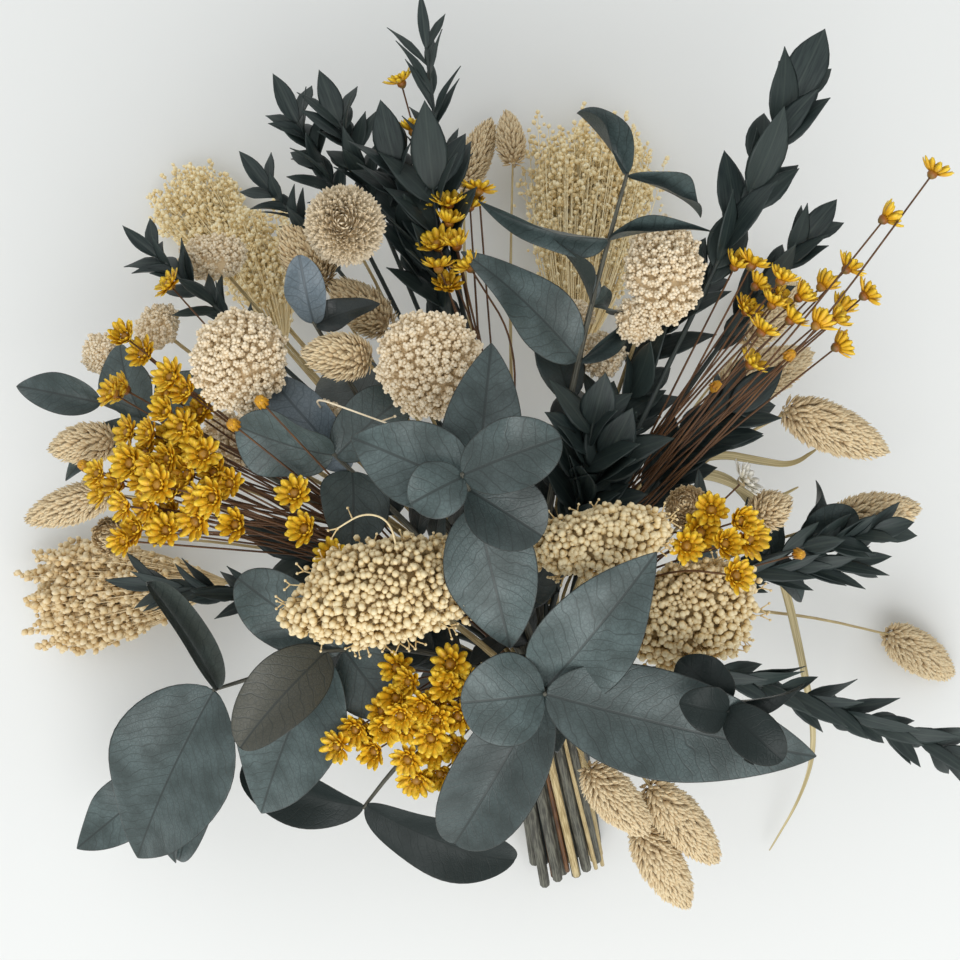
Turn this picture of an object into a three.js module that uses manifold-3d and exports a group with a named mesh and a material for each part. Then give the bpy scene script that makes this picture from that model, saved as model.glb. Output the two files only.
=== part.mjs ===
// A dried bouquet: broad-leaved eucalyptus with dark ruscus, canary grass heads, cream everlastings, rice
// flower, bead plumes and yellow star flowers, tied at the waist and laid on its back on a table.
// Millimetres. Seen from above, x runs right and y up the bunch, and z rises from the table.

import * as THREE from "three";
import { mergeVertices } from "three/addons/utils/BufferGeometryUtils.js";
import Module from "manifold-3d";

const wasm = await Module();
wasm.setup();

const vec = (place) => new THREE.Vector3(...place);
const UP = vec([0, 0, 1]);
const RIGHT = vec([1, 0, 0]);

// ---- Driving dimensions ----
const TIE_PLACE = vec([29, -95, 92]); // middle of the tie
const HANDLE = vec([-0.12, 0.72, 0.68]).normalize(); // along the stems, from the cut ends to the heads
const HANDLE_LENGTH = 128; // from the tie to the cut ends
const TIE_HALF = 5; // half the tie's height
const WAIST_HALF = 12; // half the length over which the stems run straight through it
const TIE_WRAPS = 4;
const TIE_TWINE = 2.4; // how far the twine stands off the stems
const TIE_VALLEY = 0.55; // and the part of that between two wraps
const TIE_CLEAR = 0.25;
const TIE_SIDES = 14;
const STEM_GAP = 0.15; // clearance between two stems in the tie
const SLOT_SPREAD = 34; // how far a stem's lean moves it out from the middle of the tie, per radian
const HANDLE_FLARE = 1.2; // how far the stems open below the tie
const HANDLE_TWIST = THREE.MathUtils.degToRad(20); // and how far they spiral
const STEM_CLEAR = 1.8; // clearance that stems keep from each other above the tie
const SETTLE_TURNS = 150; // rounds of moving the stems apart
const SETTLE_STEP = 0.35; // part of each push that a round makes
const SETTLE_STIFF = 0.08; // keeps a push next to a fixed point from growing without limit
const SETTLE_EVEN = 0.01; // and how far a point moves to the middle of its neighbours
const SLOT_TURNS = 800; // rounds of packing the stems in the tie
const SLOT_PUSH = 0.9; // part of each push that a round makes
const SLOT_SQUEEZES = [[450, 0.992], [740, 0.998]]; // [until this round, the stems are drawn in to this part]
const MAIN_REACH = 0.36; // how far a stem's curve keeps its direction at each end, as a part of its length
const BRANCH_REACH = 0.33; // the same for a branch
const BRANCH_SLIM = 0.8; // a branch's radius, as a part of its stem's
const CUT_REST = 0.6; // height of a low cut end's middle, in stem radii
const CUT_TRIM = 14; // how unevenly the stems are cut
const TIP_TAPER = 0.55; // a stem's radius at its tip, as a part of its radius in the tie
const STEM_SIDES = 4;
const LEAF_THICK = 1.1;
const CLEAR = 0.5; // clearance between two sprigs' leaves and flowers
const STEM_RADIUS = {
  eucalyptus: 2.5, ruscus: 1.7, phalaris: 1.3, cream: 1.4, rice: 2.1, glixia: 1.6, blade: 1.1,
};
const COLOUR = {
  eucalyptus: 0x566468,
  ruscus: 0x232c2b,
  phalaris: 0xd6b898,
  cream: 0xe4d0b2,
  rice: 0xd6bd8e,
  glixia: 0xdca414,
  blade: 0xb8a67c,
  tie: 0x9c8054,
};
const ROUGHNESS = 0.85;

// Leaf outlines: how fast the width grows at the base, and how fast it falls off at the tip.
const ROUND = [0.5, 0.5];
const POINTED = [0.55, 0.9];
const LANCE = [0.8, 1.1];

// ---- Layout: where each sprig's stems end, which way the ends head, and what they carry ----
// Eucalyptus stem: [end, heading, leaves], and each leaf [distance back from the end, tip, width, outline,
// roll in degrees].
const EUCALYPTUS = {
  crown: [
    [[-6, 2, 236], [-0.15, 0.35, 0.92], [
      [1, [26, 14, 242], 25, ROUND, 0],
      [2, [-23, -8, 240], 20, ROUND, 0],
      [10, [-44, 15, 226], 31, POINTED, 0],
      [11, [21, -19, 227], 28, ROUND, 0],
      [22, [11, -60, 200], 33, POINTED, 0],
      [23, [4, 48, 210], 29, POINTED, 0],
    ]],
  ],
  front: [
    [[23, -76, 202], [0, -0.25, 0.97], [
      [1, [122, -100, 190], 39, POINTED, 0],
      [2, [-7, -78, 207], 34, ROUND, 0],
      [10, [60, -26, 220], 37, POINTED, 0],
      [11, [-10, -140, 160], 37, ROUND, 0],
    ]],
  ],
  left_fan: [
    [[-60, -65, 168], [-0.6, -0.35, 0.7], [
      [1, [-87, -133, 138], 45, POINTED, 0],
      [2, [-89, -98, 182], 30, ROUND, 0],
      [9, [-92, -37, 166], 28, ROUND, 0],
      [10, [-32, -88, 158], 27, ROUND, 0],
    ]],
  ],
  low_left: [
    [[-112, -88, 112], [-0.6, -0.6, 0.5], [
      [1, [-151, -167, 78], 58, POINTED, 0],
      [2, [-133, -41, 138], 30, POINTED, 50],
    ]],
    [[-144, -135, 56], [-0.6, -0.7, 0.2], [
      [1, [-188, -172, 44], 29, POINTED, 0],
      [2, [-142, -179, 44], 22, POINTED, 0],
    ]],
  ],
  low: [
    [[-51, -143, 88], [-0.15, -0.8, 0.2], [
      [1, [-105, -127, 84], 29, ROUND, 0],
      [2, [16, -172, 74], 31, ROUND, 0],
    ]],
  ],
  left: [
    [[-165, 34, 96], [-0.95, 0.15, 0.1], [
      [2.5, [-202, 41, 92], 21, POINTED, 0],
      [22, [-153, 57, 106], 24, ROUND, 0],
      [23, [-183, 0, 88], 18, POINTED, 0],
      [32, [-115, 42, 112], 27, ROUND, 0],
    ]],
  ],
  shoulder: [
    [[-55, 10, 176], [-0.35, 0.3, 0.85], [
      [1, [-90, 21, 180], 31, ROUND, 0],
      [2, [-26, 33, 172], 24, ROUND, 0],
      [10, [-80, 39, 164], 20, ROUND, 0],
      [11, [-49, -28, 160], 32, POINTED, 0],
    ]],
  ],
  collar: [
    [[-63, 60, 170], [-0.1, 0.7, 0.7], [
      [1, [-66, 83, 186], 16, ROUND, 0],
      [2, [-38, 67, 172], 13, POINTED, 0],
    ]],
  ],
  tall: [
    [[56, 117, 168], [0.35, 0.85, 0.35], [
      [1, [36, 137, 176], 24, ROUND, 45],
      [2, [89, 104, 150], 18, POINTED, 35],
      [26, [-1, 102, 172], 20, POINTED, -60],
      [27, [88, 96, 136], 16, POINTED, 0],
      [52, [25, 94, 168], 16, ROUND, 45],
      [53, [52, 68, 144], 17, ROUND, 0],
      [74, [-6, 88, 160], 26, POINTED, 0],
      [75, [65, 68, 132], 16, POINTED, 30],
    ]],
  ],
  right: [
    [[139, -26, 100], [0.9, 0.2, 0.1], [
      [1, [147, 0, 92], 16, POINTED, 20],
      [2, [160, -14, 104], 20, ROUND, 0],
      [16, [117, -6, 106], 18, ROUND, 0],
      [17, [142, -54, 80], 14, POINTED, 0],
      [60, [86, 5, 122], 19, POINTED, 0],
    ]],
  ],
  round_leaved: [
    [[88, -81, 200], [0.6, -0.3, 0.7], [
      [1, [72, -64, 206], 20, ROUND, 0],
      [2, [106, -101, 198], 19, ROUND, 0],
      [12, [118, -76, 192], 13, POINTED, 40],
    ]],
  ],
};

// Ruscus spray: [tip of its last leaf, heading, length of the leafy part, leaf length, leaf width, leaves].
const RUSCUS = {
  upper_left: [
    [[-86, 166, 122], [-0.5, 0.85, 0], 50, 22, 9, 8],
    [[-106, 132, 106], [-0.9, 0.44, 0], 44, 20, 8, 6],
  ],
  upper_left_inner: [[[-66, 168, 128], [-0.35, 0.9, 0.1], 48, 24, 9, 8]],
  upper: [
    [[-36, 153, 140], [-0.05, 0.95, 0.2], 52, 28, 12, 7],
    [[-11, 146, 150], [0.25, 0.9, 0.25], 54, 34, 14, 6],
  ],
  tall_narrow: [[[-22, 200, 132], [0, 1, 0.05], 86, 26, 5, 8]],
  far_left: [[[-153, 107, 108], [-0.8, 0.6, 0], 56, 22, 8, 8]],
  upper_right: [[[136, 178, 150], [0.44, 0.9, 0], 84, 32, 12, 10]],
  right_upper: [[[148, 114, 130], [0.72, 0.68, 0], 56, 23, 8, 9]],
  right_inner: [[[92, 99, 138], [0.45, 0.85, 0.1], 84, 30, 13, 9]],
  middle: [
    [[44, 44, 172], [0, 0.8, 0.55], 42, 28, 13, 6],
    [[67, 23, 166], [0.6, 0.5, 0.5], 52, 30, 14, 6],
  ],
  right: [[[130, 35, 128], [0.96, 0.2, 0.05], 50, 30, 13, 7]],
  right_narrow: [
    [[184, -39, 98], [0.97, -0.15, 0], 58, 32, 7, 8],
    [[187, -19, 110], [1, 0.1, 0.1], 38, 22, 9, 5],
  ],
  low_right: [[[236, -134, 66], [0.9, -0.42, 0], 120, 32, 9, 11]],
  low_left: [[[-163, -44, 98], [-0.97, 0.05, 0], 52, 28, 7, 6]],
  inner_left: [[[-96, -22, 134], [-0.8, 0.2, 0.4], 56, 32, 15, 6]],
};

// Canary grass head: [base, tip, radius].
const PHALARIS = {
  left_upper: [[[-152, 17, 112], [-182, 13, 108], 8]],
  left: [
    [[-158, -5, 98], [-198, -18, 92], 7.7],
    [[-162, -25, 70], [-165, -25, 88], 7.5],
  ],
  low_middle: [[[44, -119, 120], [72, -150, 108], 8.7]],
  low_front: [[[68, -149, 100], [92, -188, 86], 9]],
  low_right: [[[71, -129, 106], [105, -168, 88], 9.3]],
  right_upper: [[[127, 30, 112], [174, 11, 106], 9.5]],
  right: [[[152, -18, 92], [193, -12, 88], 9]],
  far_right: [[[198, -74, 18], [236, -98, 2], 9.5]],
  back_right: [
    [[105, 38, 70], [154, 59, 58], 10.5],
    [[129, 67, 21], [157, 101, 2], 10.5],
  ],
  facing: [[[-52, 98, 152], [-50, 94, 192], 11.5]],
  upper_left: [
    [[-62, 78, 138], [-77, 99, 152], 8.5],
    [[-36, 60, 138], [-60, 79, 143], 8.3],
  ],
  shoulder: [[[-40, 45, 178], [-66, 47, 182], 8]],
  back: [
    [[-9, 139, 24], [6, 176, 20], 7.2],
    [[16, 150, 30], [13, 178, 24], 6.2],
  ],
  rice_edge: [
    [[83, -13, 148], [75, -8, 182], 7.5],
    [[112, -16, 122], [127, -8, 124], 7.4],
  ],
};

// Cream everlasting: [middle, facing, half its width across, half its width up, turn in degrees, length of
// its taper].
const CREAM = {
  left: [[[-91, 45, 168], [-0.25, 0.1, 0.95], 20, 20, 0, 0]],
  middle: [[[-18, 42, 192], [0, 0, 1], 20, 20, 0, 0]],
  right: [
    [[71, 81, 156], [0.1, 0.3, 0.9], 16, 23, 0, 0],
    [[49, 50, 138], [-0.2, 0.3, 0.9], 10, 10, 0, 0],
  ],
  far_left: [
    [[-137, 65, 104], [-0.5, 0.5, 0.7], 11, 11, 0, 0],
    [[-165, 55, 88], [-0.7, 0.2, 0.6], 9, 12, 0, 0],
  ],
  upper_left: [[[-115, 96, 94], [-0.2, 0.4, 0.9], 16, 11, 0, 0]],
  small: [
    [[-58, 23, 160], [0.1, -0.3, 0.9], 8, 8, 0, 0],
    [[-105, 16, 118], [-0.2, -0.1, 0.9], 12, 13, 0, 0],
  ],
  small_right: [[[40, 67, 128], [0, 0.3, 0.9], 7, 7, 0, 0]],
};

// Rice flower and bead plumes, as CREAM; a plume has a taper.
const RICE = {
  front: [[[-34, -40, 198], [0, -0.1, 1], 35, 19, 8, 0]],
  middle: [[[43, -22, 192], [0, 0.1, 1], 27, 13, 12, 0]],
  right: [[[79, -51, 170], [0.15, -0.1, 1], 28, 20, 15, 0]],
  left: [[[-196, -56, 19.5], [-0.97, -0.1, -0.22], 30, 24, 0, 80]],
  back_left: [
    [[-138, 136, 13], [-0.55, 0.8, -0.25], 22, 16, 0, 60],
    [[-108, 112, 34], [-0.3, 0.9, -0.2], 20, 14, 0, 55],
  ],
  back: [[[54, 145, 21.5], [0.1, 0.97, -0.22], 29, 24, 0, 95]],
};

// Star flowers: [place where the stalks gather, the flowers].
const GLIXIA = {
  left: [[-51, -13, 140], [
    [-137, 9, 150], [-128, 18, 156], [-121, 26, 158], [-113, 34, 160], [-142, -2, 148], [-129, 0, 160],
    [-119, 8, 164], [-108, 14, 164], [-101, 3, 166], [-128, -10, 160], [-117, -4, 168], [-106, -7, 166],
    [-134, -19, 152], [-122, -17, 158], [-144, 58, 130], [-148, 35, 134], [-89, 20, 194], [-78, 28, 200],
    [-68, -5, 184], [-54, -28, 192], [-64, -18, 186], [-92, -17, 170], [-127, 80, 126], [-162, 6, 126],
    [-153, -4, 128],
  ]],
  low: [[-14, -76, 142], [
    [-47, -94, 170], [-35, -92, 178], [-31, -81, 178], [-31, -70, 176], [-40, -103, 166], [-27, -105, 172],
    [-18, -95, 182], [-21, -83, 186], [-12, -75, 188], [-2, -77, 184], [-15, -111, 168], [-8, -87, 182],
    [-9, -100, 176],
  ]],
  right: [[72, -20, 150], [
    [85, -11, 184], [95, -15, 186], [75, -24, 190], [88, -23, 194], [91, -34, 190], [125, -29, 150],
    [104, 0, 148],
  ]],
  far_right: [[68, 18, 138], [
    [100, 84, 150], [108, 76, 152], [113, 68, 158], [120, 62, 158], [104, 66, 148], [124, 71, 156],
    [134, 76, 150], [130, 60, 158], [139, 63, 150], [144, 83, 150], [152, 73, 146], [145, 69, 140],
    [142, 53, 142], [108, 57, 158], [105, 45, 156], [91, 36, 158], [119, 48, 150], [158, 102, 152],
    [177, 120, 152],
  ]],
  top: [[-1, 60, 138], [
    [-4, 109, 142], [-12, 101, 150], [-9, 91, 156], [-16, 82, 160], [-20, 109, 140], [-32, 161, 132],
    [-27, 141, 134], [-4, 82, 150],
  ]],
};
const GLIXIA_RADIUS = 5.5;
const GLIXIA_SIZES = [0.85, 0.3]; // the smallest flower, and how much the sizes vary, in radii
const STALK_RADIUS = 0.7;
const STALK_SPAN = 64; // length of main stem that the stalks leave from

// Dry grass blades, by the points that they pass through.
const BLADES = {
  across: [[55, -17, 118], [73, 1, 118], [97, 12, 112], [119, 8, 106], [133, 6, 102], [144, 13, 98]],
  hanging: [
    [68, -9, 100], [95, 6, 96], [117, -4, 88], [135, -40, 72], [152, -93, 46], [160, -126, 30],
    [157, -153, 16], [143, -183, 6],
  ],
};
const BLADE_WIDTH = 6;
const BLADE_THICK = 1;
const BLADE_TAPER = 0.8; // the part of its width that a blade loses to its tip
const BLADE_FOOT = 0.4; // its width at its foot, as a part of its greatest

// What a piece tries, in turn, until it is bent clear of the other sprigs.
const LEAF_TRIES = [ // [roll in degrees, lift of the tip]
  [0, 0], [0, 5], [0, -5], [14, 0], [-14, 0], [0, 10], [0, -10], [14, 8], [-14, 8], [14, -8], [-14, -8],
  [28, 0], [-28, 0], [0, 16], [0, -16], [28, 12], [-28, 12], [28, -12], [-28, -12], [0, 24], [0, -24],
  [45, 0], [-45, 0], [45, 16], [-45, 16], [45, -16], [-45, -16], [0, 34], [0, -34], [65, 10], [-65, 10],
];
const SPRAY_TRIES = [ // [turn round the stem, lean from the stem], degrees
  [0, 0], [20, 0], [-20, 0], [0, 14], [0, -14], [40, 0], [-40, 0], [40, 12], [-40, 12], [60, 0], [-60, 0],
  [60, -12], [-60, -12], [90, 0], [-90, 0], [120, 0], [-120, 0], [180, 0], [0, -26], [180, -26],
];
const STALK_TRIES = [ // [sideways bend, upward bend, lift of the flower]
  [0, 0, 0], [5, 0, 0], [-5, 0, 0], [0, 5, 0], [0, -5, 0], [8, 4, 0], [-8, 4, 0], [0, 9, 0], [0, 5, 5],
  [5, 5, 5], [-5, 5, 5], [0, 0, -6], [6, -4, -6], [-6, -4, -6], [12, 0, 0], [-12, 0, 0], [0, 10, 10],
  [8, 10, 10], [-8, 10, 10], [14, 8, 10], [-14, 8, 10], [0, -8, -12], [0, 16, 18], [10, 16, 18],
  [-10, 16, 18], [20, 4, 6], [-20, 4, 6], [20, 20, 26], [-20, 20, 26],
];

// ---- Geometry ----
const turned = (v, axis, angle) => v.clone().applyAxisAngle(axis, angle);
const across = (v, axis) => v.clone().addScaledVector(axis, -v.dot(axis)).normalize();
const between = (a, b, t) => a.clone().lerp(b, t);
const degrees = THREE.MathUtils.degToRad;

// Seeded draws from 0 to 1, the same on every run.
function draws(seed) {
  let state = seed;
  return () => {
    state = (state * 1664525 + 1013904223) % 4294967296;
    return state / 4294967296;
  };
}

// A geometry's triangles as a solid.
function solid(geometry) {
  geometry.deleteAttribute("normal");
  geometry.deleteAttribute("uv");
  const merged = mergeVertices(geometry, 1e-4);
  return new wasm.Manifold(new wasm.Mesh({
    numProp: 3,
    vertProperties: Float32Array.from(merged.attributes.position.array),
    triVerts: Uint32Array.from(merged.index.array),
  }));
}

// A sphere reshaped ring by ring: place(k, a) gives a point, with k from 0 at the base pole to rings + 1 at
// the tip pole, and a counter-clockwise about the axis from base to tip.
function shell(sides, rings, place) {
  const geometry = new THREE.SphereGeometry(1, sides, rings + 1);
  const position = geometry.attributes.position;
  for (let i = 0; i < position.count; i++) {
    const ring = rings + 1 - Math.floor(i / (sides + 1));
    const angle = (2 * Math.PI * (i % (sides + 1) % sides)) / sides;
    const point = place(ring, angle);
    position.setXYZ(i, point.x, point.y, point.z);
  }
  return solid(geometry);
}

// The directions of a route at each of its points, and a side direction carried along it without twisting.
function frames(points) {
  const ways = points.map((p, i) => {
    const before = points[Math.max(i - 1, 0)];
    const after = points[Math.min(i + 1, points.length - 1)];
    return after.clone().sub(before).normalize();
  });
  const sides = [];
  let side = across(Math.abs(ways[0].x) < 0.8 ? RIGHT : UP, ways[0]);
  for (const way of ways) {
    side = across(side, way);
    sides.push(side);
  }
  return { ways, sides };
}

// A tapering stem along a route, with a flat cut at each end.
function tube(points, radii, corners) {
  const { ways, sides } = frames(points);
  return shell(corners, points.length, (k, a) => {
    const i = Math.min(Math.max(k - 1, 0), points.length - 1);
    if (k === 0 || k === points.length + 1) return points[i];
    return points[i].clone().addScaledVector(turned(sides[i], ways[i], a), radii[i]);
  });
}

// Half the width of a leaf at t along it, as a part of its greatest half width.
function outline(t, [grow, fall]) {
  const widest = grow / (grow + fall);
  return (t / widest) ** grow * ((1 - t) / (1 - widest)) ** fall;
}

// A leaf from base to tip: face is the way that its upper side looks, arch its rise in the middle as a part of
// its length, and fold the rise of its margins as a part of its half width.
function leafPlace(base, tip, width, face, shape, rings, { arch = 0.06, fold = 0.12, extra = 0 } = {}) {
  const run = tip.clone().sub(base);
  const length = run.length();
  const way = run.clone().normalize();
  const normal = across(face, way);
  const side = normal.clone().cross(way);
  return (k, a) => {
    const t = (1 - Math.cos((Math.PI * k) / (rings + 1))) / 2;
    const half = k === 0 || k === rings + 1 ? 0 : (width / 2) * outline(t, shape) + extra;
    const out = Math.cos(a) * half;
    const rise = 4 * arch * length * t * (1 - t) + fold * Math.abs(out)
      + (half > 0 ? Math.sin(a) * (LEAF_THICK / 2 + extra) : 0);
    return base.clone().addScaledVector(run, t).addScaledVector(side, out).addScaledVector(normal, rise);
  };
}

// A round cluster of florets: facing is its axis, and along a taper it narrows like a plume to where its
// stalks gather.
const MOUND_DEPTH = 0.36; // depth, as a part of its width and height together
const MOUND_BACK = 0.62; // how far it reaches back from its middle, in depths
const MOUND_FRONT = 1.3; // and how much further to its front
const MOUND_DIP = 0.8; // every other point of its surface lies in to this part
const MOUND_GRIDS = [[15, 14, 6], [9.5, 10, 4], [0, 8, 3]]; // [from this size, sides, rings]
const PLUME_SHOULDER = 0.55; // the part of a plume's rings that its taper takes
const PLUME_NECK = 0.05; // its width where its stalks gather, as a part of its greatest
const PLUME_SWELL = 1.3; // how late the taper widens
function mound(middle, facing, wide, high, turn, taper) {
  const axis = facing.clone().normalize();
  const flat = Math.abs(axis.z) < 0.7 ? UP.clone().cross(axis).normalize() : across(RIGHT, axis);
  const u = turned(flat, axis, degrees(turn));
  const v = axis.clone().cross(u);
  const deep = MOUND_DEPTH * (wide + high);
  const [, sides, rings] = MOUND_GRIDS.find(([least]) => Math.sqrt(wide * high) > least);
  const shoulder = taper > 0 ? PLUME_SHOULDER : 0;
  return shell(sides, rings, (k, a) => {
    const t = k / (rings + 1);
    const dips = k > 0 && k <= rings && (k + Math.round((a * sides) / (2 * Math.PI))) % 2 === 0;
    const bump = dips ? MOUND_DIP : 1;
    let out = Math.sin(Math.PI * t) * bump;
    let rise = -MOUND_BACK * deep * Math.cos(Math.PI * t) * (t > 0.5 ? MOUND_FRONT : 1);
    if (t < shoulder) {
      const s = t / shoulder;
      out = k === 0 ? 0 : (PLUME_NECK + (1 - PLUME_NECK) * s ** PLUME_SWELL) * bump;
      rise = -taper * (1 - s);
    } else if (shoulder > 0) {
      const s = (t - shoulder) / (1 - shoulder);
      out = Math.cos((Math.PI / 2) * s) * bump;
      rise = deep * Math.sin((Math.PI / 2) * s);
    }
    return middle.clone().addScaledVector(u, Math.cos(a) * out * wide)
      .addScaledVector(v, Math.sin(a) * out * high).addScaledVector(axis, rise);
  });
}

// A canary grass head: an egg of overlapping scales, whose tips stand out and lie a little further forward.
const HEAD_RINGS = 5;
const HEAD_SIDES = 6;
const HEAD_FORM = [0.85, 0.75]; // the egg is widest toward its base, and blunt
const SCALE_OUT = 1.04; // a scale's tip, in the head's radius
const SCALE_IN = 0.88; // and the valley beside it
const SCALE_FORWARD = 0.02; // how far the tip is set forward, as a part of the head's length
function grassHead(base, tip, radius) {
  const run = tip.clone().sub(base);
  const { ways, sides } = frames([base, tip]);
  const [lean, blunt] = HEAD_FORM;
  return shell(HEAD_SIDES, HEAD_RINGS, (k, a) => {
    const t = k / (HEAD_RINGS + 1);
    if (k === 0 || k > HEAD_RINGS) return base.clone().addScaledVector(run, t);
    const scale = (k + Math.round((a * HEAD_SIDES) / (2 * Math.PI))) % 2;
    const out = radius * Math.sin(Math.PI * t ** lean) ** blunt * (scale ? SCALE_OUT : SCALE_IN);
    return base.clone().addScaledVector(run, t + (scale ? SCALE_FORWARD : 0))
      .addScaledVector(turned(sides[0], ways[0], a), out);
  });
}

// A star flower on its stalk: the stalk's route ends at the flower's middle, and the cup opens there.
const CUP_NECK = -0.5; // the cup's neck and rim from the flower's middle, in its radius
const CUP_RIM = 0.15;
function starFlower(route, facing, radius, stalk) {
  const axis = facing.clone().normalize();
  const { ways, sides } = frames(route);
  const last = route.length - 1;
  const cup = across(sides[last], axis);
  return shell(4, last + 2, (k, a) => {
    if (k <= last) {
      const i = Math.max(k - 1, 0);
      return route[i].clone().addScaledVector(turned(sides[i], ways[i], a), k === 0 ? 0 : stalk);
    }
    const neck = k === last + 1;
    const out = neck ? stalk : k === last + 2 ? radius : 0;
    return route[last].clone().addScaledVector(turned(cup, axis, a), out)
      .addScaledVector(axis, (neck ? CUP_NECK : CUP_RIM) * radius);
  });
}

// ---- Stems: through the tie, then out to what they carry ----
// Each stem's place in the tie: toward the side it leans to, moved until no two stems are too near.
function slots(ends, radii) {
  const right = across(RIGHT, HANDLE);
  const up = HANDLE.clone().cross(right);
  const places = ends.map((end) => {
    const way = end.clone().sub(TIE_PLACE).normalize();
    const lean = Math.acos(way.dot(HANDLE));
    const flat = new THREE.Vector2(way.dot(right), way.dot(up)).normalize();
    return flat.multiplyScalar(SLOT_SPREAD * lean);
  });
  for (let turn = 0; turn < SLOT_TURNS; turn++) {
    const moves = places.map(() => new THREE.Vector2());
    for (let i = 0; i < places.length; i++) {
      for (let j = 0; j < i; j++) {
        const apart = places[i].clone().sub(places[j]);
        const lack = radii[i] + radii[j] + STEM_GAP - apart.length();
        if (lack > 0) {
          apart.setLength(lack / 2);
          moves[i].add(apart);
          moves[j].sub(apart);
        }
      }
    }
    const [, squeeze] = SLOT_SQUEEZES.find(([until]) => turn < until) ?? [SLOT_TURNS, 1];
    places.forEach((p, i) => p.add(moves[i].multiplyScalar(SLOT_PUSH)).multiplyScalar(squeeze));
  }
  return places.map((p) => right.clone().multiplyScalar(p.x).addScaledVector(up, p.y));
}

// A stem's route: cut end, through the tie, three free points and the end that carries the sprig's tip.
function mainRoute(slot, end, heading, radius, trim) {
  const below = TIE_PLACE.clone().add(slot).addScaledVector(HANDLE, -WAIST_HALF);
  const above = TIE_PLACE.clone().add(slot).addScaledVector(HANDLE, WAIST_HALF);
  const cut = turned(slot, HANDLE, HANDLE_TWIST).multiplyScalar(HANDLE_FLARE).add(TIE_PLACE)
    .addScaledVector(HANDLE, -HANDLE_LENGTH + trim);
  const rest = CUT_REST * radius;
  if (cut.z < rest) cut.lerp(below, (rest - cut.z) / (below.z - cut.z));
  const reach = MAIN_REACH * above.distanceTo(end);
  const curve = new THREE.CubicBezierCurve3(above, above.clone().addScaledVector(HANDLE, reach),
    end.clone().addScaledVector(heading, -reach), end);
  return [cut, below, above, curve.getPoint(0.25), curve.getPoint(0.5), curve.getPoint(0.75), end];
}

// A branch's route: from its sprig's first stem, at that stem's first free point.
function branchRoute(stem, end, heading) {
  const start = stem[3];
  const reach = BRANCH_REACH * start.distanceTo(end);
  const leave = stem[4].clone().sub(stem[2]).normalize();
  const curve = new THREE.CubicBezierCurve3(start, start.clone().addScaledVector(leave, reach),
    end.clone().addScaledVector(heading, -reach), end);
  return [start.clone(), curve.getPoint(1 / 3), curve.getPoint(2 / 3), end];
}

// The nearest points of two segments: [part of the first, part of the second].
function nearest(p1, q1, p2, q2) {
  const d1 = q1.clone().sub(p1);
  const d2 = q2.clone().sub(p2);
  const r = p1.clone().sub(p2);
  const a = d1.dot(d1);
  const e = Math.max(d2.dot(d2), 1e-9);
  const b = d1.dot(d2);
  const c = d1.dot(r);
  const f = d2.dot(r);
  const clamp = THREE.MathUtils.clamp;
  const s = clamp((b * f - c * e) / Math.max(a * e - b * b, 1e-9), 0, 1);
  const t = clamp((b * s + f) / e, 0, 1);
  return [clamp((b * t - c) / a, 0, 1), t];
}

// Moves the free points of all routes until stems keep clear of each other and of the heads.
// A route is {sprig, points, radius, first (its first free point), parent}, and a head {sprig, from, to,
// radius}.
function settle(routes, heads) {
  const parts = [];
  routes.forEach((route, r) => {
    for (let i = Math.max(route.first - 1, 0); i < route.points.length - 1; i++) parts.push({ r, i });
  });
  for (let turn = 0; turn < SETTLE_TURNS; turn++) {
    const moves = routes.map((route) => route.points.map(() => new THREE.Vector3()));
    // How much a push at t along a part moves its two ends: only free points move.
    const weights = ({ r, i }, t) => [
      i >= routes[r].first ? 1 - t : 0,
      i + 1 < routes[r].points.length - 1 ? t : 0,
    ];
    const push = ({ r, i }, [w0, w1], step, total) => {
      const scale = 1 / Math.max(total, SETTLE_STIFF);
      moves[r][i].addScaledVector(step, w0 * scale);
      moves[r][i + 1].addScaledVector(step, w1 * scale);
    };
    const square = ([w0, w1]) => w0 * w0 + w1 * w1;
    parts.forEach((one, n) => {
      const a = routes[one.r];
      for (let m = 0; m < n; m++) {
        const other = parts[m];
        const b = routes[other.r];
        if (a.sprig === b.sprig) continue;
        const [low, high] = [b.points[other.i], b.points[other.i + 1]];
        const [s, t] = nearest(a.points[one.i], a.points[one.i + 1], low, high);
        const step = between(a.points[one.i], a.points[one.i + 1], s).sub(between(low, high, t));
        const lack = a.radius + b.radius + STEM_CLEAR - step.length();
        if (lack > 0) {
          const [wa, wb] = [weights(one, s), weights(other, t)];
          const total = square(wa) + square(wb);
          step.setLength(lack);
          push(one, wa, step, total);
          push(other, wb, step.clone().negate(), total);
        }
      }
      for (const head of heads) {
        if (head.sprig === a.sprig) continue;
        const [s, t] = nearest(a.points[one.i], a.points[one.i + 1], head.from, head.to);
        const step = between(a.points[one.i], a.points[one.i + 1], s).sub(between(head.from, head.to, t));
        const lack = a.radius + head.radius + STEM_CLEAR - step.length();
        const wa = weights(one, s);
        if (lack > 0) push(one, wa, step.setLength(lack), square(wa));
      }
    });
    routes.forEach((route, r) => {
      for (let i = route.first; i < route.points.length - 1; i++) {
        const even = between(route.points[i - 1], route.points[i + 1], 0.5);
        route.points[i].addScaledVector(moves[r][i], SETTLE_STEP).lerp(even, SETTLE_EVEN);
      }
      if (route.parent) route.points[0].copy(route.parent.points[3]);
    });
  }
}

// The point and direction at a distance back from a route's end.
function along(points, back) {
  let left = back;
  for (let i = points.length - 1; i > 0; i--) {
    const length = points[i].distanceTo(points[i - 1]);
    if (left <= length || i === 1) {
      const point = between(points[i], points[i - 1], left / length);
      return { point, way: points[i].clone().sub(points[i - 1]).normalize() };
    }
    left -= length;
  }
  return null;
}

// ---- The bunch: first every stem, then heads, flowers and leaves, each clear of the other sprigs ----
const sprigs = new Map(); // name -> {kind, solids}
const routes = [];
const heads = [];

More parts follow.
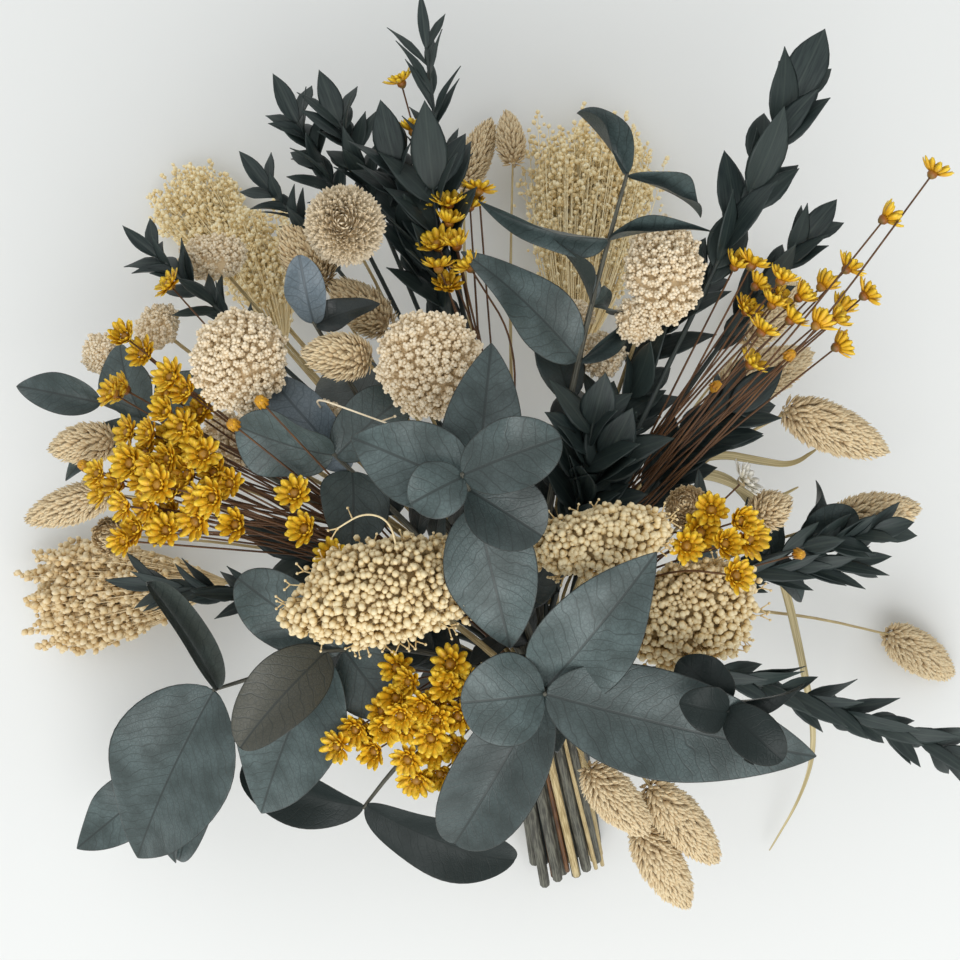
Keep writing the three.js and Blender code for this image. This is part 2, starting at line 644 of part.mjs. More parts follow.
function headRecord(sprig, from, to, radius) {
  heads.push({ sprig, from, to, radius });
}

// How far behind a cluster's middle its stem ends: inside it.
const PLUME_STEM_IN = 2;
const MOUND_STEM_IN = 0.3; // in depths
function stemBack(wide, high, taper) {
  return taper > 0 ? taper - PLUME_STEM_IN : MOUND_STEM_IN * MOUND_DEPTH * (wide + high);
}

// Every sprig's limbs, as where each stem ends and which way it heads there.
const HEAD_STEM_IN = 3;
const TIP_LEAF = 0.9; // how far a ruscus spray's last leaf goes on past its stem, in leaf lengths
function limbsOf(kind, rows, name) {
  return rows.map((row) => {
    if (kind === "phalaris") {
      const [base, tip] = [vec(row[0]), vec(row[1])];
      const heading = tip.clone().sub(base).normalize();
      headRecord(name, base, tip, row[2]);
      return { end: base.clone().addScaledVector(heading, HEAD_STEM_IN), heading };
    }
    if (kind === "cream" || kind === "rice") {
      const [place, facing, wide, high, , taper] = row;
      const heading = vec(facing).normalize();
      const end = vec(place).addScaledVector(heading, -stemBack(wide, high, taper));
      headRecord(name, vec(place).addScaledVector(heading, -taper / 3), end, Math.min(wide, high));
      return { end, heading };
    }
    const heading = vec(row[1]).normalize();
    const past = kind === "ruscus" ? TIP_LEAF * row[3] : 0;
    return { end: vec(row[0]).addScaledVector(heading, -past), heading };
  });
}

const KINDS = { eucalyptus: EUCALYPTUS, ruscus: RUSCUS, phalaris: PHALARIS, cream: CREAM, rice: RICE };
const planned = [];
for (const [kind, table] of Object.entries(KINDS)) {
  for (const [name, rows] of Object.entries(table)) {
    planned.push({ name: `${kind}_${name}`, kind, limbs: limbsOf(kind, rows, `${kind}_${name}`) });
  }
}
for (const [name, [gather]] of Object.entries(GLIXIA)) {
  const end = vec(gather);
  const heading = end.clone().sub(TIE_PLACE).normalize();
  planned.push({ name: `glixia_${name}`, kind: "glixia", limbs: [{ end, heading }] });
}
for (const [name, points] of Object.entries(BLADES)) {
  const heading = vec(points[1]).sub(vec(points[0])).normalize();
  planned.push({ name: `blade_${name}`, kind: "blade", limbs: [{ end: vec(points[0]), heading }] });
}

const radii = planned.map(({ kind }) => STEM_RADIUS[kind]);
const places = slots(planned.map(({ limbs }) => limbs[0].end), radii);
const trimDraw = draws(7);
planned.forEach(({ name, kind, limbs }, i) => {
  sprigs.set(name, { kind, solids: [] });
  const trim = CUT_TRIM * trimDraw();
  const points = mainRoute(places[i], limbs[0].end, limbs[0].heading, radii[i], trim);
  const main = { sprig: name, points, radius: radii[i], first: 3 };
  routes.push(main);
  for (const { end, heading } of limbs.slice(1)) {
    const branch = branchRoute(points, end, heading);
    routes.push({ sprig: name, points: branch, radius: BRANCH_SLIM * radii[i], first: 1, parent: main });
  }
});
for (const [name, points] of Object.entries(BLADES)) {
  for (let i = 1; i < points.length; i++) {
    headRecord(`blade_${name}`, vec(points[i - 1]), vec(points[i]), BLADE_WIDTH / 2);
  }
}
settle(routes, heads);

const routesOf = (name) => routes.filter((route) => route.sprig === name);

// Everything placed so far, with its box, to find what a new piece would run into.
const placed = [];
function add(name, piece) {
  sprigs.get(name).solids.push(piece);
  placed.push({ name, piece, box: piece.boundingBox() });
}

function isClear(piece, others) {
  const { min, max } = piece.boundingBox();
  return others.every((other) => {
    const { min: low, max: high } = other.box;
    for (let i = 0; i < 3; i++) {
      if (low[i] > max[i] || high[i] < min[i]) return true;
    }
    return piece.intersect(other.piece).isEmpty();
  });
}

// Adds the first of the tries whose thickened form is clear of the other sprigs, and says whether one was.
// With an outer part given, a try whose outer part is also clear of its own sprig comes first.
function addClear(name, tries, make, makeOuter) {
  const others = placed.filter((other) => other.name !== name);
  const own = placed.filter((other) => other.name === name);
  const clear = tries.filter((attempt) => isClear(make(attempt, CLEAR), others));
  if (clear.length === 0) return false;
  const best = makeOuter ? clear.find((attempt) => isClear(makeOuter(attempt), own)) : null;
  add(name, make(best ?? clear[0], 0));
  return true;
}

for (const { sprig, points, radius, parent } of routes) {
  const last = points.length - 1;
  const start = parent ? 0 : 2;
  const part = (i) => Math.max(i - start, 0) / (last - start);
  add(sprig, tube(points, points.map((p, i) => radius * (1 - (1 - TIP_TAPER) * part(i))), STEM_SIDES));
}

for (const [kind, table] of [["cream", CREAM], ["rice", RICE]]) {
  for (const [name, rows] of Object.entries(table)) {
    for (const [middle, facing, wide, high, turn, taper] of rows) {
      add(`${kind}_${name}`, mound(vec(middle), vec(facing), wide, high, turn, taper));
    }
  }
}
for (const [name, rows] of Object.entries(PHALARIS)) {
  for (const [base, tip, radius] of rows) add(`phalaris_${name}`, grassHead(vec(base), vec(tip), radius));
}
for (const [name, places] of Object.entries(BLADES)) {
  const points = places.map(vec);
  const { ways } = frames(points);
  const last = points.length - 1;
  add(`blade_${name}`, shell(4, points.length, (k, a) => {
    const i = Math.min(Math.max(k - 1, 0), last);
    const normal = across(UP, ways[i]);
    const half = (BLADE_WIDTH / 2) * (1 - BLADE_TAPER * (i / last) ** 2) * (i === 0 ? BLADE_FOOT : 1);
    if (k === 0 || k === last + 2) return points[i];
    const side = normal.clone().cross(ways[i]);
    return points[i].clone().addScaledVector(side, Math.cos(a) * half)
      .addScaledVector(normal, Math.sin(a) * BLADE_THICK / 2);
  }));
}

// The tie: twine wrapped round the waist, thick at each wrap and thin between two.
const bundle = Math.max(...places.map((p, i) => p.length() + radii[i]));
const tieInner = (bundle + TIE_CLEAR) / Math.cos(Math.PI / TIE_SIDES);
const tieProfile = [];
for (let i = 0; i <= 2 * TIE_WRAPS; i++) {
  const out = tieInner + TIE_TWINE * (i % 2 ? 1 : TIE_VALLEY);
  tieProfile.push(new THREE.Vector2(out, TIE_HALF * (i / TIE_WRAPS - 1)));
}
tieProfile.push(new THREE.Vector2(tieInner, TIE_HALF));
tieProfile.push(new THREE.Vector2(tieInner, -TIE_HALF));
tieProfile.push(tieProfile[0].clone());
const tieGeometry = new THREE.LatheGeometry(tieProfile, TIE_SIDES);
tieGeometry.applyQuaternion(new THREE.Quaternion().setFromUnitVectors(vec([0, 1, 0]), HANDLE));
tieGeometry.translate(...TIE_PLACE.toArray());
sprigs.set("tie", { kind: "tie", solids: [] });
add("tie", solid(tieGeometry));

// Star flowers on thin stalks, each leaving the main stem a little further back than the last. A stalk bends a
// little past its middle and is arched up there, and the flower looks along the stalk's end and up.
const STALK_BEND = 0.55;
const STALK_ARCH = 0.1;
const STALK_SUNK = 0.3; // the part of a stalk that may lie in its own sprig
const FLOWER_UP = 0.9;
const missing = [];
for (const [name, [, flowers]] of Object.entries(GLIXIA)) {
  const sprig = `glixia_${name}`;
  const { points } = routesOf(sprig)[0];
  flowers.forEach((place, i) => {
    const start = along(points, 1 + (STALK_SPAN * i) / flowers.length).point;
    const size = GLIXIA_RADIUS * (GLIXIA_SIZES[0] + GLIXIA_SIZES[1] * draws(31 * i + 5)());
    const bent = ([bend, rise, lift]) => {
      const flower = vec(place).addScaledVector(UP, lift);
      const run = flower.clone().sub(start);
      const side = UP.clone().cross(run).normalize();
      const middle = between(start, flower, STALK_BEND).addScaledVector(side, bend)
        .addScaledVector(UP, rise + STALK_ARCH * run.length());
      const facing = flower.clone().sub(middle).normalize().addScaledVector(UP, FLOWER_UP);
      return { route: bend || rise ? [middle, flower] : [flower], facing };
    };
    const whole = (attempt, extra) => {
      const { route, facing } = bent(attempt);
      return starFlower([start, ...route], facing, size + extra, STALK_RADIUS + extra);
    };
    const outer = (attempt) => {
      const { route, facing } = bent(attempt);
      return starFlower([between(start, route[0], STALK_SUNK), ...route], facing, size, STALK_RADIUS);
    };
    const made = addClear(sprig, STALK_TRIES, whole, outer);
    if (!made) missing.push(`${sprig} flower ${i}`);
  });
}

// Eucalyptus leaves in pairs, each with its base in the stem, looking up and a little along it.
const LEAF_FACE = 0.35;
for (const [name, rows] of Object.entries(EUCALYPTUS)) {
  const sprig = `eucalyptus_${name}`;
  rows.forEach(([, , leaves], limb) => {
    leaves.forEach(([back, place, width, shape, roll], i) => {
      const { point, way } = along(routesOf(sprig)[limb].points, back);
      const made = addClear(sprig, LEAF_TRIES, ([turn, lift], extra) => {
        const tip = vec(place).addScaledVector(UP, lift);
        const run = tip.clone().sub(point).normalize();
        const looks = across(way.clone().multiplyScalar(LEAF_FACE).add(UP), run);
        const face = turned(looks, run, degrees(roll + turn));
        return shell(4, 4, leafPlace(point, tip, width, face, shape, 4, { extra }));
      });
      if (!made) missing.push(`${sprig} leaf ${limb}.${i}`);
    });
  });
}

// Ruscus leaves on a spiral round the leafy part of each spray, and one at its tip, sunk into the stem there.
const GOLDEN = degrees(137.5);
const TIP_SUNK = 2.5;
const SPIRAL_STRAY = 0.6; // radians
const TIP_LEAN = degrees(8); // from the stem, for the leaf at the tip
const LEANS = [38, 14]; // the least lean of the others, and how much it varies, in degrees
const LENGTHS = [0.75, 0.35]; // the shortest leaf, and how much the lengths vary, in the row's length
const SPRAY_FACE = [0.8, 0.6]; // a leaf looks along the stem and up
const SPRAY_FORM = { arch: 0.04, fold: 0.1 };
for (const [name, rows] of Object.entries(RUSCUS)) {
  const sprig = `ruscus_${name}`;
  rows.forEach(([, , leafy, long, wide, count], limb) => {
    const { points } = routesOf(sprig)[limb];
    const draw = draws(101 + 13 * limb + 7 * name.length);
    for (let i = 0; i < count; i++) {
      const { point, way } = along(points, Math.max((leafy * i) / count, TIP_SUNK));
      const azimuth = GOLDEN * i + SPIRAL_STRAY * draw();
      const lean = i === 0 ? TIP_LEAN : degrees(LEANS[0] + LEANS[1] * draw());
      const length = long * (LENGTHS[0] + LENGTHS[1] * draw());
      const made = addClear(sprig, SPRAY_TRIES, ([turn, tilt], extra) => {
        const out = turned(across(UP, way), way, azimuth + degrees(turn));
        const angle = lean + degrees(tilt);
        const run = way.clone().multiplyScalar(Math.cos(angle)).addScaledVector(out, Math.sin(angle));
        const face = way.clone().multiplyScalar(SPRAY_FACE[0]).addScaledVector(UP, SPRAY_FACE[1]);
        const tip = point.clone().addScaledVector(run, length);
        return shell(4, 1, leafPlace(point, tip, wide, face, LANCE, 1, { ...SPRAY_FORM, extra }));
      });
      if (!made) missing.push(`${sprig} leaf ${limb}.${i}`);
    }
  });
}

// ---- Scene graph: one mesh for each sprig, with the bunch's middle over the origin ----
const bunch = new THREE.Group();
for (const [name, { kind, solids }] of sprigs) {
  const whole = wasm.Manifold.union(solids).trimByPlane([0, 0, 1], 0);
  const [body, scrap] = whole.decompose().sort((a, b) => b.volume() - a.volume());
  if (scrap) missing.push(`a loose part of ${name}`);
  const { vertProperties, triVerts } = body.getMesh();
  const geometry = new THREE.BufferGeometry();
  geometry.setAttribute("position", new THREE.BufferAttribute(new Float32Array(vertProperties), 3));
  geometry.setIndex(new THREE.BufferAttribute(new Uint32Array(triVerts), 1));
  const paint = { color: COLOUR[kind], roughness: ROUGHNESS, metalness: 0 };
  const mesh = new THREE.Mesh(geometry, new THREE.MeshStandardMaterial(paint));
  mesh.name = name;
  bunch.add(mesh);
}
const box = new THREE.Box3().setFromObject(bunch);
const middle = box.getCenter(new THREE.Vector3());
bunch.position.set(-middle.x, -middle.y, 0);

if (missing.length > 0) throw new Error(`no clear place for ${missing.join(", ")}`);
export default bunch;
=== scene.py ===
"""A dried bouquet laid on its back: broad-leaved eucalyptus with dark ruscus, canary grass heads, cream
everlastings, rice flower, bead plumes and yellow star flowers, tied with twine.

Layout places are millimetres, x right and y up the bunch as the camera sees it, z up from the table. They are
the CAD source's own values. make_piece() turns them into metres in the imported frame."""

from functools import partial

import bpy
import numpy as np
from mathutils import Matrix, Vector
from mathutils.bvhtree import BVHTree
from mathutils.kdtree import KDTree


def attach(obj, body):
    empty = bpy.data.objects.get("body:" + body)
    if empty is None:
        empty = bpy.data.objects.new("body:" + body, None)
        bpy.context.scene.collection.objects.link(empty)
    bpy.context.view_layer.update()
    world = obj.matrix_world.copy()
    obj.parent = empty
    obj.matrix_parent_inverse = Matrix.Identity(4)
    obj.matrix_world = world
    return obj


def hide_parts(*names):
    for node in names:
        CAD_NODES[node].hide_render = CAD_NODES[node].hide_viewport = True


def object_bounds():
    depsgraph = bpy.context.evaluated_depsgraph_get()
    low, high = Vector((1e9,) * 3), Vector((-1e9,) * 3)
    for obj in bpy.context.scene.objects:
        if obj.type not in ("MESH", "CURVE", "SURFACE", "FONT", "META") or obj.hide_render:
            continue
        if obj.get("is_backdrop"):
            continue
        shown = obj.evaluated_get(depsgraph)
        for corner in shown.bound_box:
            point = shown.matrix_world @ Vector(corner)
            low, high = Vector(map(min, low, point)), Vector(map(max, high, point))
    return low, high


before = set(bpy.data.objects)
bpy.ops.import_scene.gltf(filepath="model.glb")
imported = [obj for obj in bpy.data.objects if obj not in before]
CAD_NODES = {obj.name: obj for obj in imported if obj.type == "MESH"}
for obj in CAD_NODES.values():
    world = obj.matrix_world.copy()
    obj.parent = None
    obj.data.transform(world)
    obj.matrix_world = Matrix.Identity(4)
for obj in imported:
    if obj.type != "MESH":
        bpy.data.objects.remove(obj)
cad_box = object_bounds()

UP = np.array([0.0, 0.0, 1.0])
RIGHT = np.array([1.0, 0.0, 0.0])

# ---- The CAD's driving dimensions ----
TIE_PLACE = np.array([29.0, -95.0, 92.0])  # middle of the tie
HANDLE = np.array([-0.12, 0.72, 0.68]) / np.linalg.norm([-0.12, 0.72, 0.68])  # from the cut ends to the heads
HANDLE_LENGTH = 128  # from the tie to the cut ends
TIE_HALF = 5  # half the tie's height
WAIST_HALF = 12  # half the length over which the stems run straight through it
STEM_GAP = 0.15  # clearance between two stems in the tie
SLOT_SPREAD = 34  # how far a stem's lean moves it out from the middle of the tie, per radian
SLOT_PUSH = 0.9  # part of each push that a round of packing the stems makes
SLOT_ROUNDS = [[450, 0.992], [290, 0.998], [60, 1.0]]  # [rounds, the part that each draws the stems in to]
HANDLE_FLARE = 1.2  # how far the stems open below the tie
HANDLE_TWIST = np.radians(20)  # and how far they spiral
MAIN_REACH = 0.36  # how far a stem's curve keeps its direction at each end, as a part of its length
BRANCH_REACH = 0.33  # the same for a branch
BRANCH_SLIM = 0.8  # a branch's radius, as a part of its stem's
CUT_REST = 0.6  # height of a low cut end's middle, in stem radii
CUT_TRIM = 14  # how unevenly the stems are cut
STEM_CLEAR = 1.8  # clearance that stems keep from each other above the tie
SETTLE_TURNS = 150  # rounds of moving the stems apart
SETTLE_STEP = 0.35  # part of each push that a round makes
SETTLE_STIFF = 0.08  # keeps a push next to a fixed point from growing without limit
SETTLE_EVEN = 0.01  # and how far a point moves to the middle of its neighbours
TIP_TAPER = 0.55  # a stem's radius at its tip, as a part of its radius in the tie
LEAF_THICK = 1.1
HEAD_SUNK = 3  # how far a stem goes on into a grass head
TIP_LEAF = 0.9  # how far a ruscus spray's last leaf goes on past its stem, in leaf lengths
TIP_SUNK = 2.5  # and how far its foot is sunk into the stem
DEEP = 0.36  # a cluster's half depth, as a part of its two half widths together
STEM_RADIUS = {"eucalyptus": 2.5, "ruscus": 1.7, "phalaris": 1.3, "cream": 1.4, "rice": 2.1, "glixia": 1.6,
               "blade": 1.1}

GOLDEN_ANGLE = 2.399963  # radians from one place to the next on an even spiral

# Leaf outlines: how fast the width grows at the base, and how fast it falls off at the tip.
ROUND = (0.5, 0.5)
POINTED = (0.55, 0.9)
LANCE = (0.8, 1.1)

# ---- Layout: where each sprig's stems end, which way the ends head, and what they carry ----
# Eucalyptus stem: [end, heading, leaves].
# Its leaf: [distance back from the end, tip, width, outline, roll in degrees].
EUCALYPTUS = {
    "crown": [
        [[-6, 2, 236], [-0.15, 0.35, 0.92], [
            [1, [26, 14, 242], 25, ROUND, 0],
            [2, [-23, -8, 240], 20, ROUND, 0],
            [10, [-44, 15, 226], 31, POINTED, 0],
            [11, [21, -19, 227], 28, ROUND, 0],
            [22, [11, -60, 200], 33, POINTED, 0],
            [23, [4, 48, 210], 29, POINTED, 0],
        ]],
    ],
    "front": [
        [[23, -76, 202], [0, -0.25, 0.97], [
            [1, [122, -100, 190], 39, POINTED, 0],
            [2, [-7, -78, 207], 34, ROUND, 0],
            [10, [60, -26, 220], 37, POINTED, 0],
            [11, [-10, -140, 160], 37, ROUND, 0],
        ]],
    ],
    "left_fan": [
        [[-60, -65, 168], [-0.6, -0.35, 0.7], [
            [1, [-87, -133, 138], 45, POINTED, 0],
            [2, [-89, -98, 182], 30, ROUND, 0],
            [9, [-92, -37, 166], 28, ROUND, 0],
            [10, [-32, -88, 158], 27, ROUND, 0],
        ]],
    ],
    "low_left": [
        [[-112, -88, 112], [-0.6, -0.6, 0.5], [
            [1, [-151, -167, 78], 58, POINTED, 0],
            [2, [-133, -41, 138], 30, POINTED, 50],
        ]],
        [[-144, -135, 56], [-0.6, -0.7, 0.2], [
            [1, [-188, -172, 44], 29, POINTED, 0],
            [2, [-142, -179, 44], 22, POINTED, 0],
        ]],
    ],
    "low": [
        [[-51, -143, 88], [-0.15, -0.8, 0.2], [
            [1, [-105, -127, 84], 29, ROUND, 0],
            [2, [16, -172, 74], 31, ROUND, 0],
        ]],
    ],
    "left": [
        [[-165, 34, 96], [-0.95, 0.15, 0.1], [
            [2.5, [-202, 41, 92], 21, POINTED, 0],
            [22, [-153, 57, 106], 24, ROUND, 0],
            [23, [-183, 0, 88], 18, POINTED, 0],
            [32, [-115, 42, 112], 27, ROUND, 0],
        ]],
    ],
    "shoulder": [
        [[-55, 10, 176], [-0.35, 0.3, 0.85], [
            [1, [-90, 21, 180], 31, ROUND, 0],
            [2, [-26, 33, 172], 24, ROUND, 0],
            [10, [-80, 39, 164], 20, ROUND, 0],
            [11, [-49, -28, 160], 32, POINTED, 0],
        ]],
    ],
    "collar": [
        [[-63, 60, 170], [-0.1, 0.7, 0.7], [
            [1, [-66, 83, 186], 16, ROUND, 0],
            [2, [-38, 67, 172], 13, POINTED, 0],
        ]],
    ],
    "tall": [
        [[56, 117, 168], [0.35, 0.85, 0.35], [
            [1, [36, 137, 176], 24, ROUND, 45],
            [2, [89, 104, 150], 18, POINTED, 35],
            [26, [-1, 102, 172], 20, POINTED, -60],
            [27, [88, 96, 136], 16, POINTED, 0],
            [52, [25, 94, 168], 16, ROUND, 45],
            [53, [52, 68, 144], 17, ROUND, 0],
            [74, [-6, 88, 160], 26, POINTED, 0],
            [75, [65, 68, 132], 16, POINTED, 30],
        ]],
    ],
    "right": [
        [[139, -26, 100], [0.9, 0.2, 0.1], [
            [1, [147, 0, 92], 16, POINTED, 20],
            [2, [160, -14, 104], 20, ROUND, 0],
            [16, [117, -6, 106], 18, ROUND, 0],
            [17, [142, -54, 80], 14, POINTED, 0],
            [60, [86, 5, 122], 19, POINTED, 0],
        ]],
    ],
    "round_leaved": [
        [[88, -81, 200], [0.6, -0.3, 0.7], [
            [1, [72, -64, 206], 20, ROUND, 0],
            [2, [106, -101, 198], 19, ROUND, 0],
            [12, [118, -76, 192], 13, POINTED, 40],
        ]],
    ],
}

# Ruscus spray: [tip of its last leaf, heading, length of the leafy part, leaf length, leaf width, leaves].
RUSCUS = {
    "upper_left": [
        [[-86, 166, 122], [-0.5, 0.85, 0], 50, 22, 9, 8],
        [[-106, 132, 106], [-0.9, 0.44, 0], 44, 20, 8, 6],
    ],
    "upper_left_inner": [[[-66, 168, 128], [-0.35, 0.9, 0.1], 48, 24, 9, 8]],
    "upper": [
        [[-36, 153, 140], [-0.05, 0.95, 0.2], 52, 28, 12, 7],
        [[-11, 146, 150], [0.25, 0.9, 0.25], 54, 34, 14, 6],
    ],
    "tall_narrow": [[[-22, 200, 132], [0, 1, 0.05], 86, 26, 5, 8]],
    "far_left": [[[-153, 107, 108], [-0.8, 0.6, 0], 56, 22, 8, 8]],
    "upper_right": [[[136, 178, 150], [0.44, 0.9, 0], 84, 32, 12, 10]],
    "right_upper": [[[148, 114, 130], [0.72, 0.68, 0], 56, 23, 8, 9]],
    "right_inner": [[[92, 99, 138], [0.45, 0.85, 0.1], 84, 30, 13, 9]],
    "middle": [
        [[44, 44, 172], [0, 0.8, 0.55], 42, 28, 13, 6],
        [[67, 23, 166], [0.6, 0.5, 0.5], 52, 30, 14, 6],
    ],
    "right": [[[130, 35, 128], [0.96, 0.2, 0.05], 50, 30, 13, 7]],
    "right_narrow": [
        [[184, -39, 98], [0.97, -0.15, 0], 58, 32, 7, 8],
        [[187, -19, 110], [1, 0.1, 0.1], 38, 22, 9, 5],
    ],
    "low_right": [[[236, -134, 66], [0.9, -0.42, 0], 120, 32, 9, 11]],
    "low_left": [[[-163, -44, 98], [-0.97, 0.05, 0], 52, 28, 7, 6]],
    "inner_left": [[[-96, -22, 134], [-0.8, 0.2, 0.4], 56, 32, 15, 6]],
}

# Canary grass head: [base, tip, radius].
PHALARIS = {
    "left_upper": [[[-152, 17, 112], [-182, 13, 108], 8]],
    "left": [
        [[-158, -5, 98], [-198, -18, 92], 7.7],
        [[-162, -25, 70], [-165, -25, 88], 7.5],
    ],
    "low_middle": [[[44, -119, 120], [72, -150, 108], 8.7]],
    "low_front": [[[68, -149, 100], [92, -188, 86], 9]],
    "low_right": [[[71, -129, 106], [105, -168, 88], 9.3]],
    "right_upper": [[[127, 30, 112], [174, 11, 106], 9.5]],
    "right": [[[152, -18, 92], [193, -12, 88], 9]],
    "far_right": [[[198, -74, 18], [236, -98, 2], 9.5]],
    "back_right": [
        [[105, 38, 70], [154, 59, 58], 10.5],
        [[129, 67, 21], [157, 101, 2], 10.5],
    ],
    "facing": [[[-52, 98, 152], [-50, 94, 192], 11.5]],
    "upper_left": [
        [[-62, 78, 138], [-77, 99, 152], 8.5],
        [[-36, 60, 138], [-60, 79, 143], 8.3],
    ],
    "shoulder": [[[-40, 45, 178], [-66, 47, 182], 8]],
    "back": [
        [[-9, 139, 24], [6, 176, 20], 7.2],
        [[16, 150, 30], [13, 178, 24], 6.2],
    ],
    "rice_edge": [
        [[83, -13, 148], [75, -8, 182], 7.5],
        [[112, -16, 122], [127, -8, 124], 7.4],
    ],
}

# Cream everlasting: [middle, facing, half width across, half width up, turn in degrees, length of its taper].
CREAM = {
    "left": [[[-91, 45, 168], [-0.25, 0.1, 0.95], 20, 20, 0, 0]],
    "middle": [[[-18, 42, 192], [0, 0, 1], 20, 20, 0, 0]],
    "right": [
        [[71, 81, 156], [0.1, 0.3, 0.9], 16, 23, 0, 0],
        [[49, 50, 138], [-0.2, 0.3, 0.9], 10, 10, 0, 0],
    ],
    "far_left": [
        [[-137, 65, 104], [-0.5, 0.5, 0.7], 11, 11, 0, 0],
        [[-165, 55, 88], [-0.7, 0.2, 0.6], 9, 12, 0, 0],
    ],
    "upper_left": [[[-115, 96, 94], [-0.2, 0.4, 0.9], 16, 11, 0, 0]],
    "small": [
        [[-58, 23, 160], [0.1, -0.3, 0.9], 8, 8, 0, 0],
        [[-105, 16, 118], [-0.2, -0.1, 0.9], 12, 13, 0, 0],
    ],
    "small_right": [[[40, 67, 128], [0, 0.3, 0.9], 7, 7, 0, 0]],
}

# Rice flower and bead plumes, as CREAM; a plume has a taper.
RICE = {
    "front": [[[-34, -40, 198], [0, -0.1, 1], 35, 19, 8, 0]],
    "middle": [[[43, -22, 192], [0, 0.1, 1], 27, 13, 12, 0]],
    "right": [[[79, -51, 170], [0.15, -0.1, 1], 28, 20, 15, 0]],
    "left": [[[-196, -56, 19.5], [-0.97, -0.1, -0.22], 30, 24, 0, 80]],
    "back_left": [
        [[-138, 136, 13], [-0.55, 0.8, -0.25], 22, 16, 0, 60],
        [[-108, 112, 34], [-0.3, 0.9, -0.2], 20, 14, 0, 55],
    ],
    "back": [[[54, 145, 21.5], [0.1, 0.97, -0.22], 29, 24, 0, 95]],
}

# Star flowers: [place where the stalks gather, the flowers].
GLIXIA = {
    "left": [[-51, -13, 140], [
        [-137, 9, 150], [-128, 18, 156], [-121, 26, 158], [-113, 34, 160], [-142, -2, 148], [-129, 0, 160],
        [-119, 8, 164], [-108, 14, 164], [-101, 3, 166], [-128, -10, 160], [-117, -4, 168], [-106, -7, 166],
        [-134, -19, 152], [-122, -17, 158], [-144, 58, 130], [-148, 35, 134], [-89, 20, 194], [-78, 28, 200],
        [-68, -5, 184], [-54, -28, 192], [-64, -18, 186], [-92, -17, 170], [-127, 80, 126], [-162, 6, 126],
        [-153, -4, 128],
    ]],
    "low": [[-14, -76, 142], [
        [-47, -94, 170], [-35, -92, 178], [-31, -81, 178], [-31, -70, 176], [-40, -103, 166],
        [-27, -105, 172], [-18, -95, 182], [-21, -83, 186], [-12, -75, 188], [-2, -77, 184],
        [-15, -111, 168], [-8, -87, 182], [-9, -100, 176],
    ]],
    "right": [[72, -20, 150], [
        [85, -11, 184], [95, -15, 186], [75, -24, 190], [88, -23, 194], [91, -34, 190], [125, -29, 150],
        [104, 0, 148],
    ]],
    "far_right": [[68, 18, 138], [
        [100, 84, 150], [108, 76, 152], [113, 68, 158], [120, 62, 158], [104, 66, 148], [124, 71, 156],
        [134, 76, 150], [130, 60, 158], [139, 63, 150], [144, 83, 150], [152, 73, 146], [145, 69, 140],
        [142, 53, 142], [108, 57, 158], [105, 45, 156], [91, 36, 158], [119, 48, 150], [158, 102, 152],
        [177, 120, 152],
    ]],
    "top": [[-1, 60, 138], [
        [-4, 109, 142], [-12, 101, 150], [-9, 91, 156], [-16, 82, 160], [-20, 109, 140], [-32, 161, 132],
        [-27, 141, 134], [-4, 82, 150],
    ]],
}
GLIXIA_RADIUS = 5.5  # a flower's, before its own size
STALK_SPAN = 64  # length of main stem that the stalks leave from

# Dry grass blades, by the points that they pass through.
BLADES = {
    "across": [[55, -17, 118], [73, 1, 118], [97, 12, 112], [119, 8, 106], [133, 6, 102], [144, 13, 98]],
    "hanging": [
        [68, -9, 100], [95, 6, 96], [117, -4, 88], [135, -40, 72], [152, -93, 46], [160, -126, 30],
        [157, -153, 16], [143, -183, 6],
    ],
}
BLADE_WIDTH = 6

# What a piece tries, in turn, until it is bent clear of the other sprigs.
LEAF_TRIES = [  # [roll in degrees, lift of the tip]
    [0, 0], [0, 5], [0, -5], [14, 0], [-14, 0], [0, 10], [0, -10], [14, 8], [-14, 8], [14, -8], [-14, -8],
    [28, 0], [-28, 0], [0, 16], [0, -16], [28, 12], [-28, 12], [28, -12], [-28, -12], [0, 24], [0, -24],
    [45, 0], [-45, 0], [45, 16], [-45, 16], [45, -16], [-45, -16], [0, 34], [0, -34], [65, 10], [-65, 10],
]
SPRAY_TRIES = [  # [turn round the stem, lean from the stem], degrees
    [0, 0], [20, 0], [-20, 0], [0, 14], [0, -14], [40, 0], [-40, 0], [40, 12], [-40, 12], [60, 0], [-60, 0],
    [60, -12], [-60, -12], [90, 0], [-90, 0], [120, 0], [-120, 0], [180, 0], [0, -26], [180, -26],
]
STALK_TRIES = [  # [sideways bend, upward bend, lift of the flower]
    [0, 0, 0], [5, 0, 0], [-5, 0, 0], [0, 5, 0], [0, -5, 0], [8, 4, 0], [-8, 4, 0], [0, 9, 0], [0, 5, 5],
    [5, 5, 5], [-5, 5, 5], [0, 0, -6], [6, -4, -6], [-6, -4, -6], [12, 0, 0], [-12, 0, 0], [0, 10, 10],
    [8, 10, 10], [-8, 10, 10], [14, 8, 10], [-14, 8, 10], [0, -8, -12], [0, 16, 18], [10, 16, 18],
    [-10, 16, 18], [20, 4, 6], [-20, 4, 6], [20, 20, 26], [-20, 20, 26],
]
SAME_PLACE = 0.05  # two points that are nearer than this are one

# ---- Vectors, curves and draws ----
def unit(v):
    """v at length 1, along the last axis."""
    return v / np.linalg.norm(v, axis=-1, keepdims=True)


def across(v, axis):
    """The part of v that is square to axis, at length 1."""
    return unit(v - np.sum(v * axis, -1, keepdims=True) * axis)


